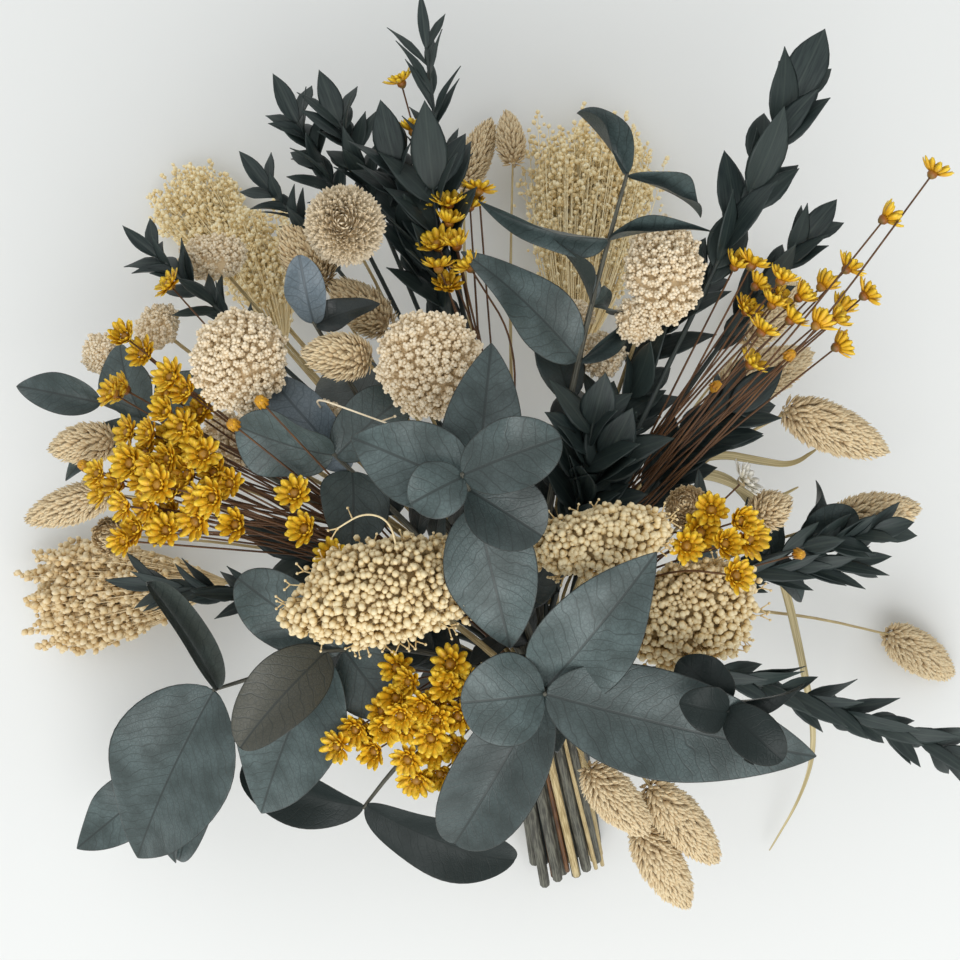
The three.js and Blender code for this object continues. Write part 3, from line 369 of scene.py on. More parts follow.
def turned(v, axis, angle):
    """v turned about a unit axis: v cos a + (axis x v) sin a + axis (axis . v)(1 - cos a)."""
    angle = np.asarray(angle, float)[..., None]
    along = np.sum(v * axis, -1, keepdims=True) * axis
    return v * np.cos(angle) + np.cross(axis, v) * np.sin(angle) + along * (1 - np.cos(angle))


def bezier(a, b, c, d, t):
    """The cubic with control points a, b, c, d at each t."""
    t = np.asarray(t, float)[..., None]
    return (1 - t) ** 3 * a + 3 * (1 - t) ** 2 * t * b + 3 * (1 - t) * t ** 2 * c + t ** 3 * d


def draws(seed):
    """The CAD's seeded draws from 0 to 1."""
    state = seed
    while True:
        state = (state * 1664525 + 1013904223) % 4294967296
        yield state / 4294967296


def corner_cut(points, rounds=3):
    """A route with rounded corners: each round puts points at 1/4 and 3/4 of every part. The ends stay."""
    for _ in range(rounds):
        near = 0.75 * points[:-1] + 0.25 * points[1:]
        far = 0.25 * points[:-1] + 0.75 * points[1:]
        inner = np.stack([near, far], 1).reshape(-1, 3)
        points = np.concatenate([points[:1], inner, points[-1:]])
    return points


def reached(points):
    """How far along its route each point is."""
    return np.concatenate([[0], np.cumsum(np.linalg.norm(np.diff(points, axis=0), axis=1))])


def along(points, back):
    """The point and direction at a distance back from a route's end."""
    lengths = np.linalg.norm(np.diff(points, axis=0), axis=1)[::-1]
    passed = np.cumsum(lengths)
    part = min(int(np.searchsorted(passed, back)), len(lengths) - 1)
    rest = (back - (passed[part] - lengths[part])) / lengths[part]
    last = len(points) - 1 - part
    point = points[last] + (points[last - 1] - points[last]) * rest
    return point, unit(points[last] - points[last - 1])


# ---- The stems' routes, settled clear of each other as in the CAD ----
def slots(ends, radii):
    """Each stem's place in the tie: toward the side it leans to, moved until no two stems are too near."""
    right = across(RIGHT, HANDLE)
    up = np.cross(HANDLE, right)
    way = unit(ends - TIE_PLACE)
    flat = unit(np.stack([way @ right, way @ up], 1))
    places = flat * SLOT_SPREAD * np.arccos(way @ HANDLE)[:, None]
    reach = radii[:, None] + radii[None] + STEM_GAP
    for rounds, squeeze in SLOT_ROUNDS:
        for _ in range(rounds):
            apart = places[:, None] - places[None]
            distance = np.linalg.norm(apart, axis=2) + np.eye(len(places)) * 1e6
            push = np.maximum(reach - distance, 0) / 2 / distance
            places = (places + SLOT_PUSH * np.sum(apart * push[..., None], 1)) * squeeze
    return places[:, :1] * right + places[:, 1:] * up


def main_route(slot, end, heading, radius, trim):
    """Cut end, through the tie, three free points on a cubic, and the end that carries the sprig's tip."""
    below = TIE_PLACE + slot - HANDLE * WAIST_HALF
    above = TIE_PLACE + slot + HANDLE * WAIST_HALF
    cut = turned(slot, HANDLE, HANDLE_TWIST) * HANDLE_FLARE + TIE_PLACE + HANDLE * (trim - HANDLE_LENGTH)
    rest = CUT_REST * radius
    if cut[2] < rest:
        cut = cut + (below - cut) * (rest - cut[2]) / (below[2] - cut[2])
    reach = MAIN_REACH * np.linalg.norm(above - end)
    free = bezier(above, above + HANDLE * reach, end - heading * reach, end, [0.25, 0.5, 0.75])
    return np.array([cut, below, above, *free, end])


def branch_route(stem, end, heading):
    """From the sprig's first stem, at that stem's first free point, on a cubic to the branch's end."""
    reach = BRANCH_REACH * np.linalg.norm(stem[3] - end)
    leave = unit(stem[4] - stem[2])
    free = bezier(stem[3], stem[3] + leave * reach, end - heading * reach, end, [1 / 3, 2 / 3])
    return np.array([stem[3], *free, end])


def nearest(p1, q1, p2, q2):
    """Where two parts of stems come nearest, as shares of each, and the way from the second to the first."""
    d1, d2, r = q1 - p1, q2 - p2, p1 - p2
    a, b, c = np.sum(d1 * d1, 1), np.sum(d1 * d2, 1), np.sum(d1 * r, 1)
    e, f = np.maximum(np.sum(d2 * d2, 1), 1e-9), np.sum(d2 * r, 1)
    s = np.clip((b * f - c * e) / np.maximum(a * e - b * b, 1e-9), 0, 1)
    t = np.clip((b * s + f) / e, 0, 1)
    s = np.clip((b * t - c) / a, 0, 1)
    return s, t, p1 + d1 * s[:, None] - p2 - d2 * t[:, None]


def settle(mains, branches, main_sprigs, branch_sprigs, main_radii, branch_radii, heads):
    """Moves the free points of all routes until stems keep clear of each other and of the heads."""
    count, size = len(mains), mains.shape[1]
    points = np.concatenate([mains.reshape(-1, 3), branches.reshape(-1, 3)])
    # Each part of a route: its sprig, its first point, whether its two points are free, and its radius.
    parts = [(main_sprigs[m], m * size + i, i > 2, i < size - 2, main_radii[m])
             for m in range(count) for i in range(2, size - 1)]
    parts += [(branch_sprigs[n], count * size + n * 4 + i, i > 0, i < 2, branch_radii[n])
              for n in range(len(branches)) for i in range(3)]
    owner, start, free0, free1, radius = (np.array(column) for column in zip(*parts))
    head_owner, head_from, head_to, head_radius = (np.array(column) for column in zip(*heads))
    one, two = np.tril_indices(len(start), -1)
    apart = owner[one] != owner[two]
    one, two = one[apart], two[apart]
    part, head = np.meshgrid(np.arange(len(start)), np.arange(len(heads)), indexing="ij")
    foreign = owner[part] != head_owner[head]
    part, head = part[foreign], head[foreign]
    parents = [main_sprigs.index(sprig) for sprig in branch_sprigs]

    def push(moves, index, w0, w1, step, total):
        """Adds a step to the two ends of some parts, by their weights."""
        scale = 1 / np.maximum(total, SETTLE_STIFF)
        np.add.at(moves, start[index], step * (w0 * scale)[:, None])
        np.add.at(moves, start[index] + 1, step * (w1 * scale)[:, None])

    for _ in range(SETTLE_TURNS):
        moves = np.zeros_like(points)
        low, high = points[start], points[start + 1]
        s, t, step = nearest(low[one], high[one], low[two], high[two])
        lack = radius[one] + radius[two] + STEM_CLEAR - np.linalg.norm(step, axis=1)
        near = lack > 0
        step = unit(step[near]) * lack[near, None]
        s, t, a, b = s[near], t[near], one[near], two[near]
        wa0, wa1 = free0[a] * (1 - s), free1[a] * s
        wb0, wb1 = free0[b] * (1 - t), free1[b] * t
        total = wa0 ** 2 + wa1 ** 2 + wb0 ** 2 + wb1 ** 2
        push(moves, a, wa0, wa1, step, total)
        push(moves, b, wb0, wb1, -step, total)
        s, _, step = nearest(low[part], high[part], head_from[head], head_to[head])
        lack = radius[part] + head_radius[head] + STEM_CLEAR - np.linalg.norm(step, axis=1)
        near = lack > 0
        s, a = s[near], part[near]
        w0, w1 = free0[a] * (1 - s), free1[a] * s
        push(moves, a, w0, w1, unit(step[near]) * lack[near, None], w0 ** 2 + w1 ** 2)
        mains = points[:count * size].reshape(-1, size, 3)
        branches = points[count * size:].reshape(-1, 4, 3)
        for group, moved, first in ((mains, moves[:count * size].reshape(-1, size, 3), 3),
                                    (branches, moves[count * size:].reshape(-1, 4, 3), 1)):
            for i in range(first, group.shape[1] - 1):
                even = (group[:, i - 1] + group[:, i + 1]) / 2
                group[:, i] += moved[:, i] * SETTLE_STEP
                group[:, i] += (even - group[:, i]) * SETTLE_EVEN
        branches[:, 0] = mains[parents, 3]
    return mains, branches


def mound_stem(wide, high, taper):
    """How far behind a cluster's middle its stem ends."""
    return taper - 2 if taper > 0 else DEEP * (wide + high) * 0.3


def limbs_of(kind, rows):
    """Where each of a sprig's stems ends and heads, and the heads that they carry as (from, to, radius)."""
    limbs, carried = [], []
    for row in rows:
        place, toward = np.array(row[0], float), np.array(row[1], float)
        if kind == "phalaris":
            heading = unit(toward - place)
            limbs.append((place + heading * HEAD_SUNK, heading))
            carried.append((place, toward, row[2]))
        elif kind in ("cream", "rice"):
            heading = unit(toward)
            _, _, wide, high, _, taper = row
            end = place - heading * mound_stem(wide, high, taper)
            limbs.append((end, heading))
            carried.append((place - heading * taper / 3, end, min(wide, high)))
        else:
            past = TIP_LEAF * row[3] if kind == "ruscus" else 0
            limbs.append((place - unit(toward) * past, unit(toward)))
    return limbs, carried


def plan_sprigs():
    """Every sprig's name, kind and limbs in the CAD's order, with the heads that stems keep clear of."""
    planned, heads = [], []
    tables = {"eucalyptus": EUCALYPTUS, "ruscus": RUSCUS, "phalaris": PHALARIS, "cream": CREAM, "rice": RICE}
    for kind, table in tables.items():
        for name, rows in table.items():
            limbs, carried = limbs_of(kind, rows)
            planned.append((f"{kind}_{name}", kind, limbs))
            heads += [(f"{kind}_{name}", *head) for head in carried]
    for name, (gather, _) in GLIXIA.items():
        end = np.array(gather, float)
        planned.append((f"glixia_{name}", "glixia", [(end, unit(end - TIE_PLACE))]))
    for name, places in BLADES.items():
        points = np.array(places, float)
        planned.append((f"blade_{name}", "blade", [(points[0], unit(points[1] - points[0]))]))
        heads += [(f"blade_{name}", low, high, BLADE_WIDTH / 2) for low, high in zip(points[:-1], points[1:])]
    return planned, heads


def stem_routes():
    """Each sprig's settled routes with their radii, as name -> [(points, radius)], and the stems' slots."""
    planned, heads = plan_sprigs()
    names = [name for name, _, _ in planned]
    radii = np.array([STEM_RADIUS[kind] for _, kind, _ in planned])
    places = slots(np.array([limbs[0][0] for _, _, limbs in planned]), radii)
    trim_draw = draws(7)
    mains, branches, branch_sprigs, branch_radii = [], [], [], []
    for (name, _, limbs), place, radius in zip(planned, places, radii):
        mains.append(main_route(place, *limbs[0], radius, CUT_TRIM * next(trim_draw)))
        for end, heading in limbs[1:]:
            branches.append(branch_route(mains[-1], end, heading))
            branch_sprigs.append(name)
            branch_radii.append(BRANCH_SLIM * radius)
    mains, branches = settle(np.array(mains), np.array(branches), names, branch_sprigs, radii, branch_radii,
                             heads)
    routes = {name: [(points, radius)] for name, points, radius in zip(names, mains, radii)}
    for name, points, radius in zip(branch_sprigs, branches, branch_radii):
        routes[name].append((points, radius))
    return routes, places, radii


ROUTES, SLOTS, SLOT_RADII = stem_routes()

# ---- What the CAD placed: its meshes in layout millimetres ----
facing_tip = max((vertex.co for vertex in CAD_NODES["phalaris_facing"].data.vertices), key=lambda co: co.z)
SHIFT = np.array(facing_tip) * 1000 - np.array(PHALARIS["facing"][0][1])  # from layout places to the frame's


def cad_mesh(name):
    """A CAD node's vertices in layout millimetres and its triangles."""
    data = CAD_NODES[name].data
    points = np.empty(len(data.vertices) * 3, np.float32)
    data.vertices.foreach_get("co", points)
    data.calc_loop_triangles()
    triangles = np.empty(len(data.loop_triangles) * 3, np.int32)
    data.loop_triangles.foreach_get("vertices", triangles)
    return points.reshape(-1, 3).astype(float) * 1000 - SHIFT, triangles.reshape(-1, 3)


CAD_MESHES = {name: cad_mesh(name) for name in CAD_NODES}


def finder(name):
    """A search tree over a CAD node's vertices."""
    points = CAD_MESHES[name][0]
    tree = KDTree(len(points))
    for index, point in enumerate(points):
        tree.insert(point, index)
    tree.balance()
    return tree


def used_try(tree, tries, sample):
    """The try that the CAD used: the one whose sample has the most points among the node's vertices."""
    found = [sum(tree.find(point)[2] < SAME_PLACE for point in sample(attempt)) for attempt in tries]
    return tries[int(np.argmax(found))]


# ---- Skins: (points, faces, data); a face is a quad, or a triangle with -1 in its last place ----
def skin_faces(rings, sides):
    """Quads between neighbouring rings and a fan from each pole; the poles are the last two vertices."""
    side = np.arange(sides)
    beside = (side + 1) % sides
    row = np.arange(rings - 1)[:, None] * sides
    quads = np.stack([row + side, row + beside, row + beside + sides, row + side + sides], -1).reshape(-1, 4)
    base, tip, last = rings * sides, rings * sides + 1, (rings - 1) * sides
    none = np.full(sides, -1)
    low = np.stack([np.full(sides, base), beside, side, none], -1)
    high = np.stack([np.full(sides, tip), last + side, last + beside, none], -1)
    return np.concatenate([quads, low, high])


def closed_skin(points, **data):
    """Closes a grid of rings by sides. Each pole is the mean of the end ring beside it, also in its data."""
    rings, sides = points.shape[:2]

    def flat(values):
        values = np.asarray(values, float).reshape(rings, sides, -1)
        return np.concatenate([values.reshape(rings * sides, -1), values[:1].mean(1), values[-1:].mean(1)])

    return flat(points), skin_faces(rings, sides), {key: flat(value) for key, value in data.items()}


def joined(skins):
    """Several skins as one."""
    starts = np.cumsum([0] + [len(points) for points, _, _ in skins[:-1]])
    faces = [np.where(faces >= 0, faces + start, -1) for (_, faces, _), start in zip(skins, starts)]
    data = {key: np.concatenate([skin[2][key] for skin in skins]) for key in skins[0][2]}
    return np.concatenate([points for points, _, _ in skins]), np.concatenate(faces), data


def copies(skin, origins, axes, sizes, tone):
    """One small skin at many places: its x, y and z run along the rows of axes at the lengths in sizes."""
    points, faces, data = skin
    count, size = len(origins), len(points)
    placed = origins[:, None] + np.einsum("vk,ck,ckj->cvj", points, sizes, axes)
    offset = (np.arange(count) * size)[:, None, None]
    moved = np.where(faces[None] >= 0, faces[None] + offset, -1).reshape(-1, 4)
    spread = {key: np.tile(value, (count, 1)) for key, value in data.items()}
    spread["tone"] = np.repeat(np.asarray(tone, float), size)[:, None]
    return placed.reshape(-1, 3), moved, spread


def ring_angles(sides):
    """Angles round a section, counter-clockwise seen from the tip."""
    return 2 * np.pi * np.arange(sides) / sides


def outline(t, shape):
    """Half a leaf's width at t along it, as a part of its greatest: growing as t^g, falling as (1 - t)^f."""
    grow, fall = shape
    widest = grow / (grow + fall)
    return (t / widest) ** grow * ((1 - t) / (1 - widest)) ** fall


def leaf_axes(base, tip, face):
    """A leaf's length, and its ways along, out of its upper side, and to its side."""
    run = tip - base
    way = unit(run)
    normal = across(face, way)
    return np.linalg.norm(run), way, normal, np.cross(normal, way)


def cad_leaf(base, tip, face, width, shape, rings, arch, fold):
    """The CAD leaf's vertices: four to each ring k, at t = (1 - cos(pi k / (rings + 1))) / 2, and its tip."""
    length, way, normal, side = leaf_axes(base, tip, face)
    k, a = np.meshgrid(np.arange(1, rings + 1), ring_angles(4), indexing="ij")
    t = (1 - np.cos(np.pi * k / (rings + 1))) / 2
    out = np.cos(a) * width / 2 * outline(t, shape)
    rise = 4 * arch * length * t * (1 - t) + fold * np.abs(out) + np.sin(a) * LEAF_THICK / 2
    points = base + (t * length)[..., None] * way + out[..., None] * side + rise[..., None] * normal
    return np.concatenate([points.reshape(-1, 3), tip[None]])


def leaf_skin(base, tip, face, width, shape, rings, sides, arch, fold, thick=0.45, wave=0.0, twist=0.0,
              droop=0.0, phase=0.0, tone=0.5):
    """A leaf blade: a flat lens section carried from base to tip, as wide as its outline there. The blade
    rises as 4 arch t (1 - t), droops at its tip as t^4, folds up along its middle by the angle fold, twists,
    and ripples toward its margins as sin(7.5 t + phase)."""
    length, way, normal, side = leaf_axes(base, tip, face)
    t = (1 - np.cos(np.pi * np.linspace(0.045, 0.965, rings))) / 2
    t, a = np.meshgrid(t, ring_angles(sides), indexing="ij")
    half = width / 2 * outline(t, shape)
    rim = np.cos(a)
    out = rim * half
    ripple = wave * rim ** 2 * np.sin(7.5 * t + phase + 1.7 * np.sign(rim)) * half / (width / 2)
    section = np.sign(np.sin(a)) * np.abs(np.sin(a)) ** 0.6 * thick / 2
    turn = twist * (t - 0.4)
    flat = out * np.cos(fold)
    lift = np.abs(out) * np.sin(fold) + ripple + section
    rise = 4 * arch * length * t * (1 - t) - droop * t ** 4 + lift * np.cos(turn) + flat * np.sin(turn)
    sideways = flat * np.cos(turn) - lift * np.sin(turn)
    points = base + (t * length)[..., None] * way + sideways[..., None] * side + rise[..., None] * normal
    place = np.stack([out, t * length, np.sin(a)], -1)
    return closed_skin(points, leaf_place=place, rim=half - np.abs(out), tone=np.full_like(t, tone))


def rod_skin(points, radii, sides=8, **data):
    """A round section carried along a route, each ring square to the route there."""
    way = unit(np.gradient(points, axis=0))
    steady = np.linalg.svd(way)[2][-1]
    u = across(steady, way)
    v = np.cross(way, u)
    a = ring_angles(sides)[None, :, None]
    ring = np.cos(a) * u[:, None] + np.sin(a) * v[:, None]
    grid = points[:, None] + np.asarray(radii, float)[:, None, None] * ring
    if not data:
        # The skin's streaks: 2.5 to a radius round the stem, and 0.08 to a millimetre down it.
        shape = grid.shape[:2]
        round_stem = np.broadcast_to(2.5 * np.concatenate([np.cos(a), np.sin(a)], -1), (*shape, 2))
        down_stem = np.broadcast_to(0.08 * reached(points)[:, None, None], (*shape, 1))
        return closed_skin(grid, stem_place=np.concatenate([round_stem, down_stem], -1))
    spread = {key: np.broadcast_to(np.asarray(value, float).reshape(-1, 1), grid.shape[:2])
              for key, value in data.items()}
    return closed_skin(grid, **spread)


def turned_skin(heights, widths, sides, depth):
    """A round section about z, with its width and its depth in colour given at each height."""
    a = ring_angles(sides)
    x = np.outer(widths, np.cos(a))
    y = np.outer(widths, np.sin(a))
    z = np.repeat(np.asarray(heights, float)[:, None], sides, 1)
    shade = np.repeat(np.asarray(depth, float)[:, None], sides, 1)
    return closed_skin(np.stack([x, y, z], -1), depth=shade)


def facing_axes(direction, spin):
    """Axes for copies: z along each direction, and x turned about it by spin."""
    helper = np.where(np.abs(direction[:, 2:]) < 0.9, UP, RIGHT)
    x = turned(across(helper, direction), direction, spin)
    return np.stack([x, np.cross(direction, x), direction], 1)


def spiral_dome(count, lowest, crowding=1.0):
    """Directions on a sphere, from its top down to the height lowest, on a golden-angle spiral, with
    z = 1 - (1 - lowest) (k / count)^crowding. A crowding above 1 draws them together at the top."""
    k = np.arange(count) + 0.5
    z = 1 - (1 - lowest) * (k / count) ** crowding
    angle = GOLDEN_ANGLE * k
    flat = np.sqrt(1 - z ** 2)
    return np.stack([flat * np.cos(angle), flat * np.sin(angle), z], 1)


def gathered(points, centres, pull):
    """Moves each point toward its nearest centre by the share pull, and says how far it was from it."""
    apart = np.linalg.norm(points[:, None] - centres[None], axis=2)
    near = np.argmin(apart, 1)
    return points + (centres[near] - points) * pull, apart[np.arange(len(points)), near]


def cluster_axes(facing, turn):
    """A cluster's ways across, up and out, as the rows of a matrix."""
    axis = unit(np.array(facing, float))
    flat = unit(np.cross(UP, axis)) if abs(axis[2]) < 0.7 else across(RIGHT, axis)
    u = turned(flat, axis, np.radians(turn))
    return np.stack([u, np.cross(axis, u), axis])


# ---- Flowers and heads ----
# Small round shapes about z, from about -1 to 1: an everlasting's granule, a rice flower's bud and a plume's
# bead. TWIG is a thin stalk from 0 to 1. Their depth, from 0 at the foot to 1 at the top, picks their colour.
# Their darker foot is partly their own colour and partly painted shade, low down between them.
GRANULE = turned_skin([-0.8, 0.1, 0.85], [0.7, 1.0, 0.5], 5, [0, 0, 0])
BEAD = turned_skin([-1.0, -0.3, 0.45, 0.95], [0.34, 0.92, 0.94, 0.4], 6, [0, 0.25, 0.7, 1])
FINE_BEAD = turned_skin([-0.9, 0, 0.85], [0.4, 1.0, 0.4], 5, [0, 0.5, 1])
TWIG = turned_skin([0, 1], [1, 0.6], 4, [0.3, 0.7])


def core_skin(middle, axes, sizes, depth):
    """A plain rounded body inside a cluster, that closes the gaps between its florets: an ellipsoid. Its
    depth picks a darker colour, partly its own and partly painted shade deep in the cluster.
    """
    angle = np.pi * (np.arange(9) + 0.5) / 9
    shape = turned_skin(-np.cos(angle), np.sin(angle), 16, np.full(9, depth))
    return copies(shape, middle[None], axes[None], np.array([sizes], float), [0.3])


def twigs(feet, ends, thick, tone):
    """Straight thin stalks from feet to ends."""
    run = ends - feet
    length = np.linalg.norm(run, axis=1)
    sizes = np.stack([np.full(len(run), thick)] * 2 + [length], 1)
    return copies(TWIG, feet, facing_axes(unit(run), np.zeros(len(run))), sizes, np.full(len(run), tone))


def bare_twig(places, random):
    """A thin bare twig through its places, forked into four at its end."""
    route = corner_cut(np.array(places, float))
    size = np.linspace(0.42, 0.28, len(route))
    rod = rod_skin(route, size, 5, depth=np.full(len(route), 0.8))
    rod[2]["tone"] = np.full((len(rod[0]), 1), 0.9)
    way = unit(route[-1] - route[-3])
    foot = route[[-1, -1, -5, -9]]
    end = foot + (way + random.normal(0, 0.6, (4, 3))) * 3.5
    knobs = copies(FINE_BEAD, end, facing_axes(np.tile(way, (4, 1)), np.zeros(4)), np.full((4, 3), 0.6),
                   np.full(4, 0.9))
    return joined([rod, twigs(foot, end, 0.3, 0.9), knobs])


FINGERS = 0.46  # of an everlasting, to a square millimetre
FINGER_LENGTH = 7
FINGER_RADIUS = 1.8
GRANULES = 11  # on each finger
HUB_BELOW = 1.1  # how far a cluster's hub lies below its middle, as a part of its depth


def everlasting(middle, facing, wide, high, turn, random):
    """A dome of knobby fingers that spread from a hub below it, with tips on an ellipsoid, drawn into groups.
    A finger is a short column with granules all over its rounded top, on a golden-angle spiral."""
    middle, axes = np.array(middle, float), cluster_axes(facing, turn)
    deep = DEEP * (wide + high)
    count = int(FINGERS * wide * high) + 18
    reach = np.array([wide - 1.2, high - 1.2, 0.8 * deep])
    tips = spiral_dome(count, -0.6, 1.22) * reach
    tips += random.normal(0, 0.35, tips.shape)
    centres = spiral_dome(max(count // 9, 5), -0.5) * reach
    centres += random.normal(0, 0.8, centres.shape)
    tips, apart = gathered(tips, centres, 0.07)
    tips *= (1.02 - 0.007 * apart ** 1.3 + random.uniform(-0.05, 0.04, count))[:, None]
    hub = np.array([0, 0, -HUB_BELOW * deep])
    way = unit(tips - hub + random.normal(0, 1.2, tips.shape)) @ axes
    tips = middle + tips @ axes
    girth = random.uniform(0.92, 1.3, count)
    columns = twigs(tips - way * FINGER_LENGTH, tips + way * 0.2 * girth[:, None], FINGER_RADIUS, 0.5)
    k = np.tile(np.arange(GRANULES) + 0.5, count)
    owner = np.repeat(np.arange(count), GRANULES)
    height = 1 - 1.6 * k / GRANULES
    angle = GOLDEN_ANGLE * k + random.uniform(0, 6.28, count)[owner]
    flat = np.sqrt(np.maximum(1 - height ** 2, 0))
    local = np.stack([flat * np.cos(angle), flat * np.sin(angle), 2.6 * height - 1.3], 1) * girth[owner, None]
    frames = facing_axes(way, np.zeros(count))[owner]
    places = tips[owner] + np.einsum("ck,ckj->cj", local + random.normal(0, 0.1, local.shape), frames)
    size = random.uniform(0.62, 0.9, len(owner))
    granules = copies(GRANULE, places, facing_axes(way[owner], angle), np.stack([size] * 3, 1),
                      random.uniform(0, 1, len(owner)))
    # Granules low on each finger are darker: partly their own colour, partly painted shade between fingers.
    granules[2]["depth"] = np.repeat(0.4 + 0.6 * np.clip(height + 0.6, 0, 1), len(GRANULE[0]))[:, None]
    core = core_skin(middle - axes[2] * 0.1 * deep, axes, [0.83 * wide, 0.83 * high, 0.62 * deep], 0.25)
    return joined([granules, columns, core])


MOUND_BUDS = 1.1  # of a rice flower mound, to a square millimetre
BUD_TWIG = 0.28  # radius of a bud's stalk
BARE_TWIG = 0.3  # and of a bare twig's ends


def rice_mound(middle, facing, wide, high, turn, random):
    """A mound of round buds on thin stalks from a hub below it: each bud is at its own share of the way to an
    ellipsoid, most of them near it. Forked bare twigs stand out past its rim."""
    middle, axes = np.array(middle, float), cluster_axes(facing, turn)
    deep = DEEP * (wide + high)
    skins = [core_skin(middle - axes[2] * 0.12 * deep, axes, [0.78 * wide, 0.76 * high, 0.64 * deep], 0.5)]
    count = int(MOUND_BUDS * (wide * high + deep * (wide + high) / 2))
    reach = np.array([wide - 1.5, high - 1.5, 0.84 * deep])
    inner, outer = random.uniform(0.8, 0.9, count), random.uniform(0.9, 1.04, count)
    share = np.where(np.arange(count) % 3 == 0, inner, outer)
    lumps = spiral_dome(max(count // 24, 6), -0.45)
    dome = spiral_dome(count, -0.45)
    _, apart = gathered(dome, lumps, 0)
    # Its rim swells and shrinks in 2, 3 and 5 waves round it.
    round_rim = np.arctan2(dome[:, 1], dome[:, 0])
    start = random.uniform(0, 2 * np.pi, 3)
    rim_wave = sum(size * np.sin(waves * round_rim + first)
                   for waves, size, first in zip((2, 3, 5), (0.05, 0.06, 0.04), start))
    swell = np.stack([1 + rim_wave, 1 + rim_wave, np.ones(count)], 1)
    places = dome * reach * swell * (share * (1.05 - 0.3 * apart))[:, None]
    places += random.normal(0, 0.55, places.shape)
    hub = np.array([0, 0, -HUB_BELOW * deep])
    direction = unit(places - hub + random.normal(0, 4, places.shape)) @ axes
    # One in nine of the buds near its rim stands out on its own.
    outlying = (dome[:, 2] < 0.35) & (random.uniform(0, 1, count) < 0.11)
    places *= np.where(outlying, random.uniform(1.06, 1.16, count), 1)[:, None]
    radius = random.uniform(1.05, 1.6, count)
    sizes = np.stack([radius, radius, radius * random.uniform(1.0, 1.25, count)], 1)
    centres = middle + places @ axes
    skins.append(copies(BEAD, centres, facing_axes(direction, random.uniform(0, 6, count)), sizes,
                        random.uniform(0, 1, count)))
    feet = middle + (places * 0.62 + hub * 0.3) @ axes
    skins.append(twigs(feet, centres, BUD_TWIG, 0.2))
    # The forked bare twigs.
    number = int(0.5 * (wide + high))
    angle = random.uniform(0, 2 * np.pi, number)
    rim = np.stack([np.cos(angle) * reach[0], np.sin(angle) * reach[1], np.full(number, 0.1 * deep)], 1)
    foot = middle + (rim * 0.86) @ axes
    fork = middle + (rim * (1.05 + 0.06 * random.uniform(0, 1, (number, 1)))) @ axes
    out = unit(fork - foot)
    for side in (-1, 1):
        aside = turned(out, axes[2], side * random.uniform(0.4, 0.9, number)) + 0.25 * axes[2]
        tip = fork + unit(aside) * random.uniform(2.2, 4.2, (number, 1))
        skins.append(twigs(fork, tip, BARE_TWIG, 0.9))
        skins.append(copies(FINE_BEAD, tip, facing_axes(unit(aside), angle), np.full((number, 3), 0.62),
                            np.full(number, 0.9)))
    skins.append(twigs(foot, fork, 0.34, 0.8))
    return joined(skins)


BEADS = 16  # on each stalk of a plume


def plume(middle, facing, wide, high, turn, taper, random, bead, spread, beaded, loose, dense):
    """A plume: thin stalks, dense of them to a square millimetre, from its gathering point to ends all over a
    rounded cone. Along its outer part, whose length lies between the two in beaded, each stalk has beads on
    side stalks of up to about loose beads long. spread widens and lengthens the plume past its solid."""
    middle, axes = np.array(middle, float), cluster_axes(facing, turn)
    deep = DEEP * (wide + high)
    count = int(dense * wide * high * spread[0]) + 24
    k = np.arange(count) + 0.5
    radial = np.sqrt(k / count)
    angle = GOLDEN_ANGLE * k
    ends = np.stack([np.cos(angle) * radial * (wide - 1.6), np.sin(angle) * radial * (high - 1.6),
                     np.sqrt(np.maximum(1 - radial ** 2, 0)) * (deep - 1.5)], 1) * spread
    ends += random.normal(0, 1.2, ends.shape)
    early = random.uniform(0, 1, count)
    gather = np.array([0, 0, -taper])
    wisps = (random.uniform(0, 1, count) < 0.3) * random.uniform(0, 0.1, count)
    ends += (gather - ends) * (0.45 * early ** 1.6 - wisps)[:, None]
    t = np.linspace(0, 1, 6)[None, :, None]
    bow = ends * np.array([0.16, 0.16, 0])
    paths = gather + (ends - gather)[:, None] * t + bow[:, None] * np.sin(np.pi * t)
    paths = middle + paths @ axes
    paths[..., 2] = np.maximum(paths[..., 2], 0.8)
    stalks = joined([rod_skin(path, np.linspace(0.36, 0.2, 6), 4, depth=np.linspace(0.4, 0.9, 6))
                     for path in paths])
    stalks[2]["tone"] = np.full((len(stalks[0]), 1), 0.6)
    back = np.tile(np.linspace(0, 1, BEADS), count)
    owner = np.repeat(np.arange(count), BEADS)
    way = unit(paths[:, -1] - paths[:, -3])[owner]
    length = random.uniform(*beaded, count)[owner]
    off = across(random.normal(0, 1, (len(owner), 3)), way)
    off *= (bead * (0.6 + loose * back ** 0.6) * random.uniform(0.3, 1.0, len(owner)))[:, None]
    stem = paths[owner, -1] - way * (length * back * random.uniform(0.85, 1.1, len(owner)))[:, None]
    places = stem + off + way * 1.5
    places[:, 2] = np.maximum(places[:, 2], 1.1 * bead + 0.3)
    direction = unit(way + 0.8 * unit(off) + random.normal(0, 0.35, off.shape))
    radius = bead * random.uniform(0.7, 1.25, len(owner))
    sizes = np.stack([radius, radius, radius * random.uniform(1.0, 1.25, len(owner))], 1)
    beads = copies(FINE_BEAD, places, facing_axes(direction, random.uniform(0, 6, len(owner))), sizes,
                   random.uniform(0, 1, len(owner)))
    some = np.arange(len(owner)) % 3 == 0
    sides = twigs((stem - way * 3)[some], places[some], 0.18, 0.5)
    return joined([beads, stalks, sides])


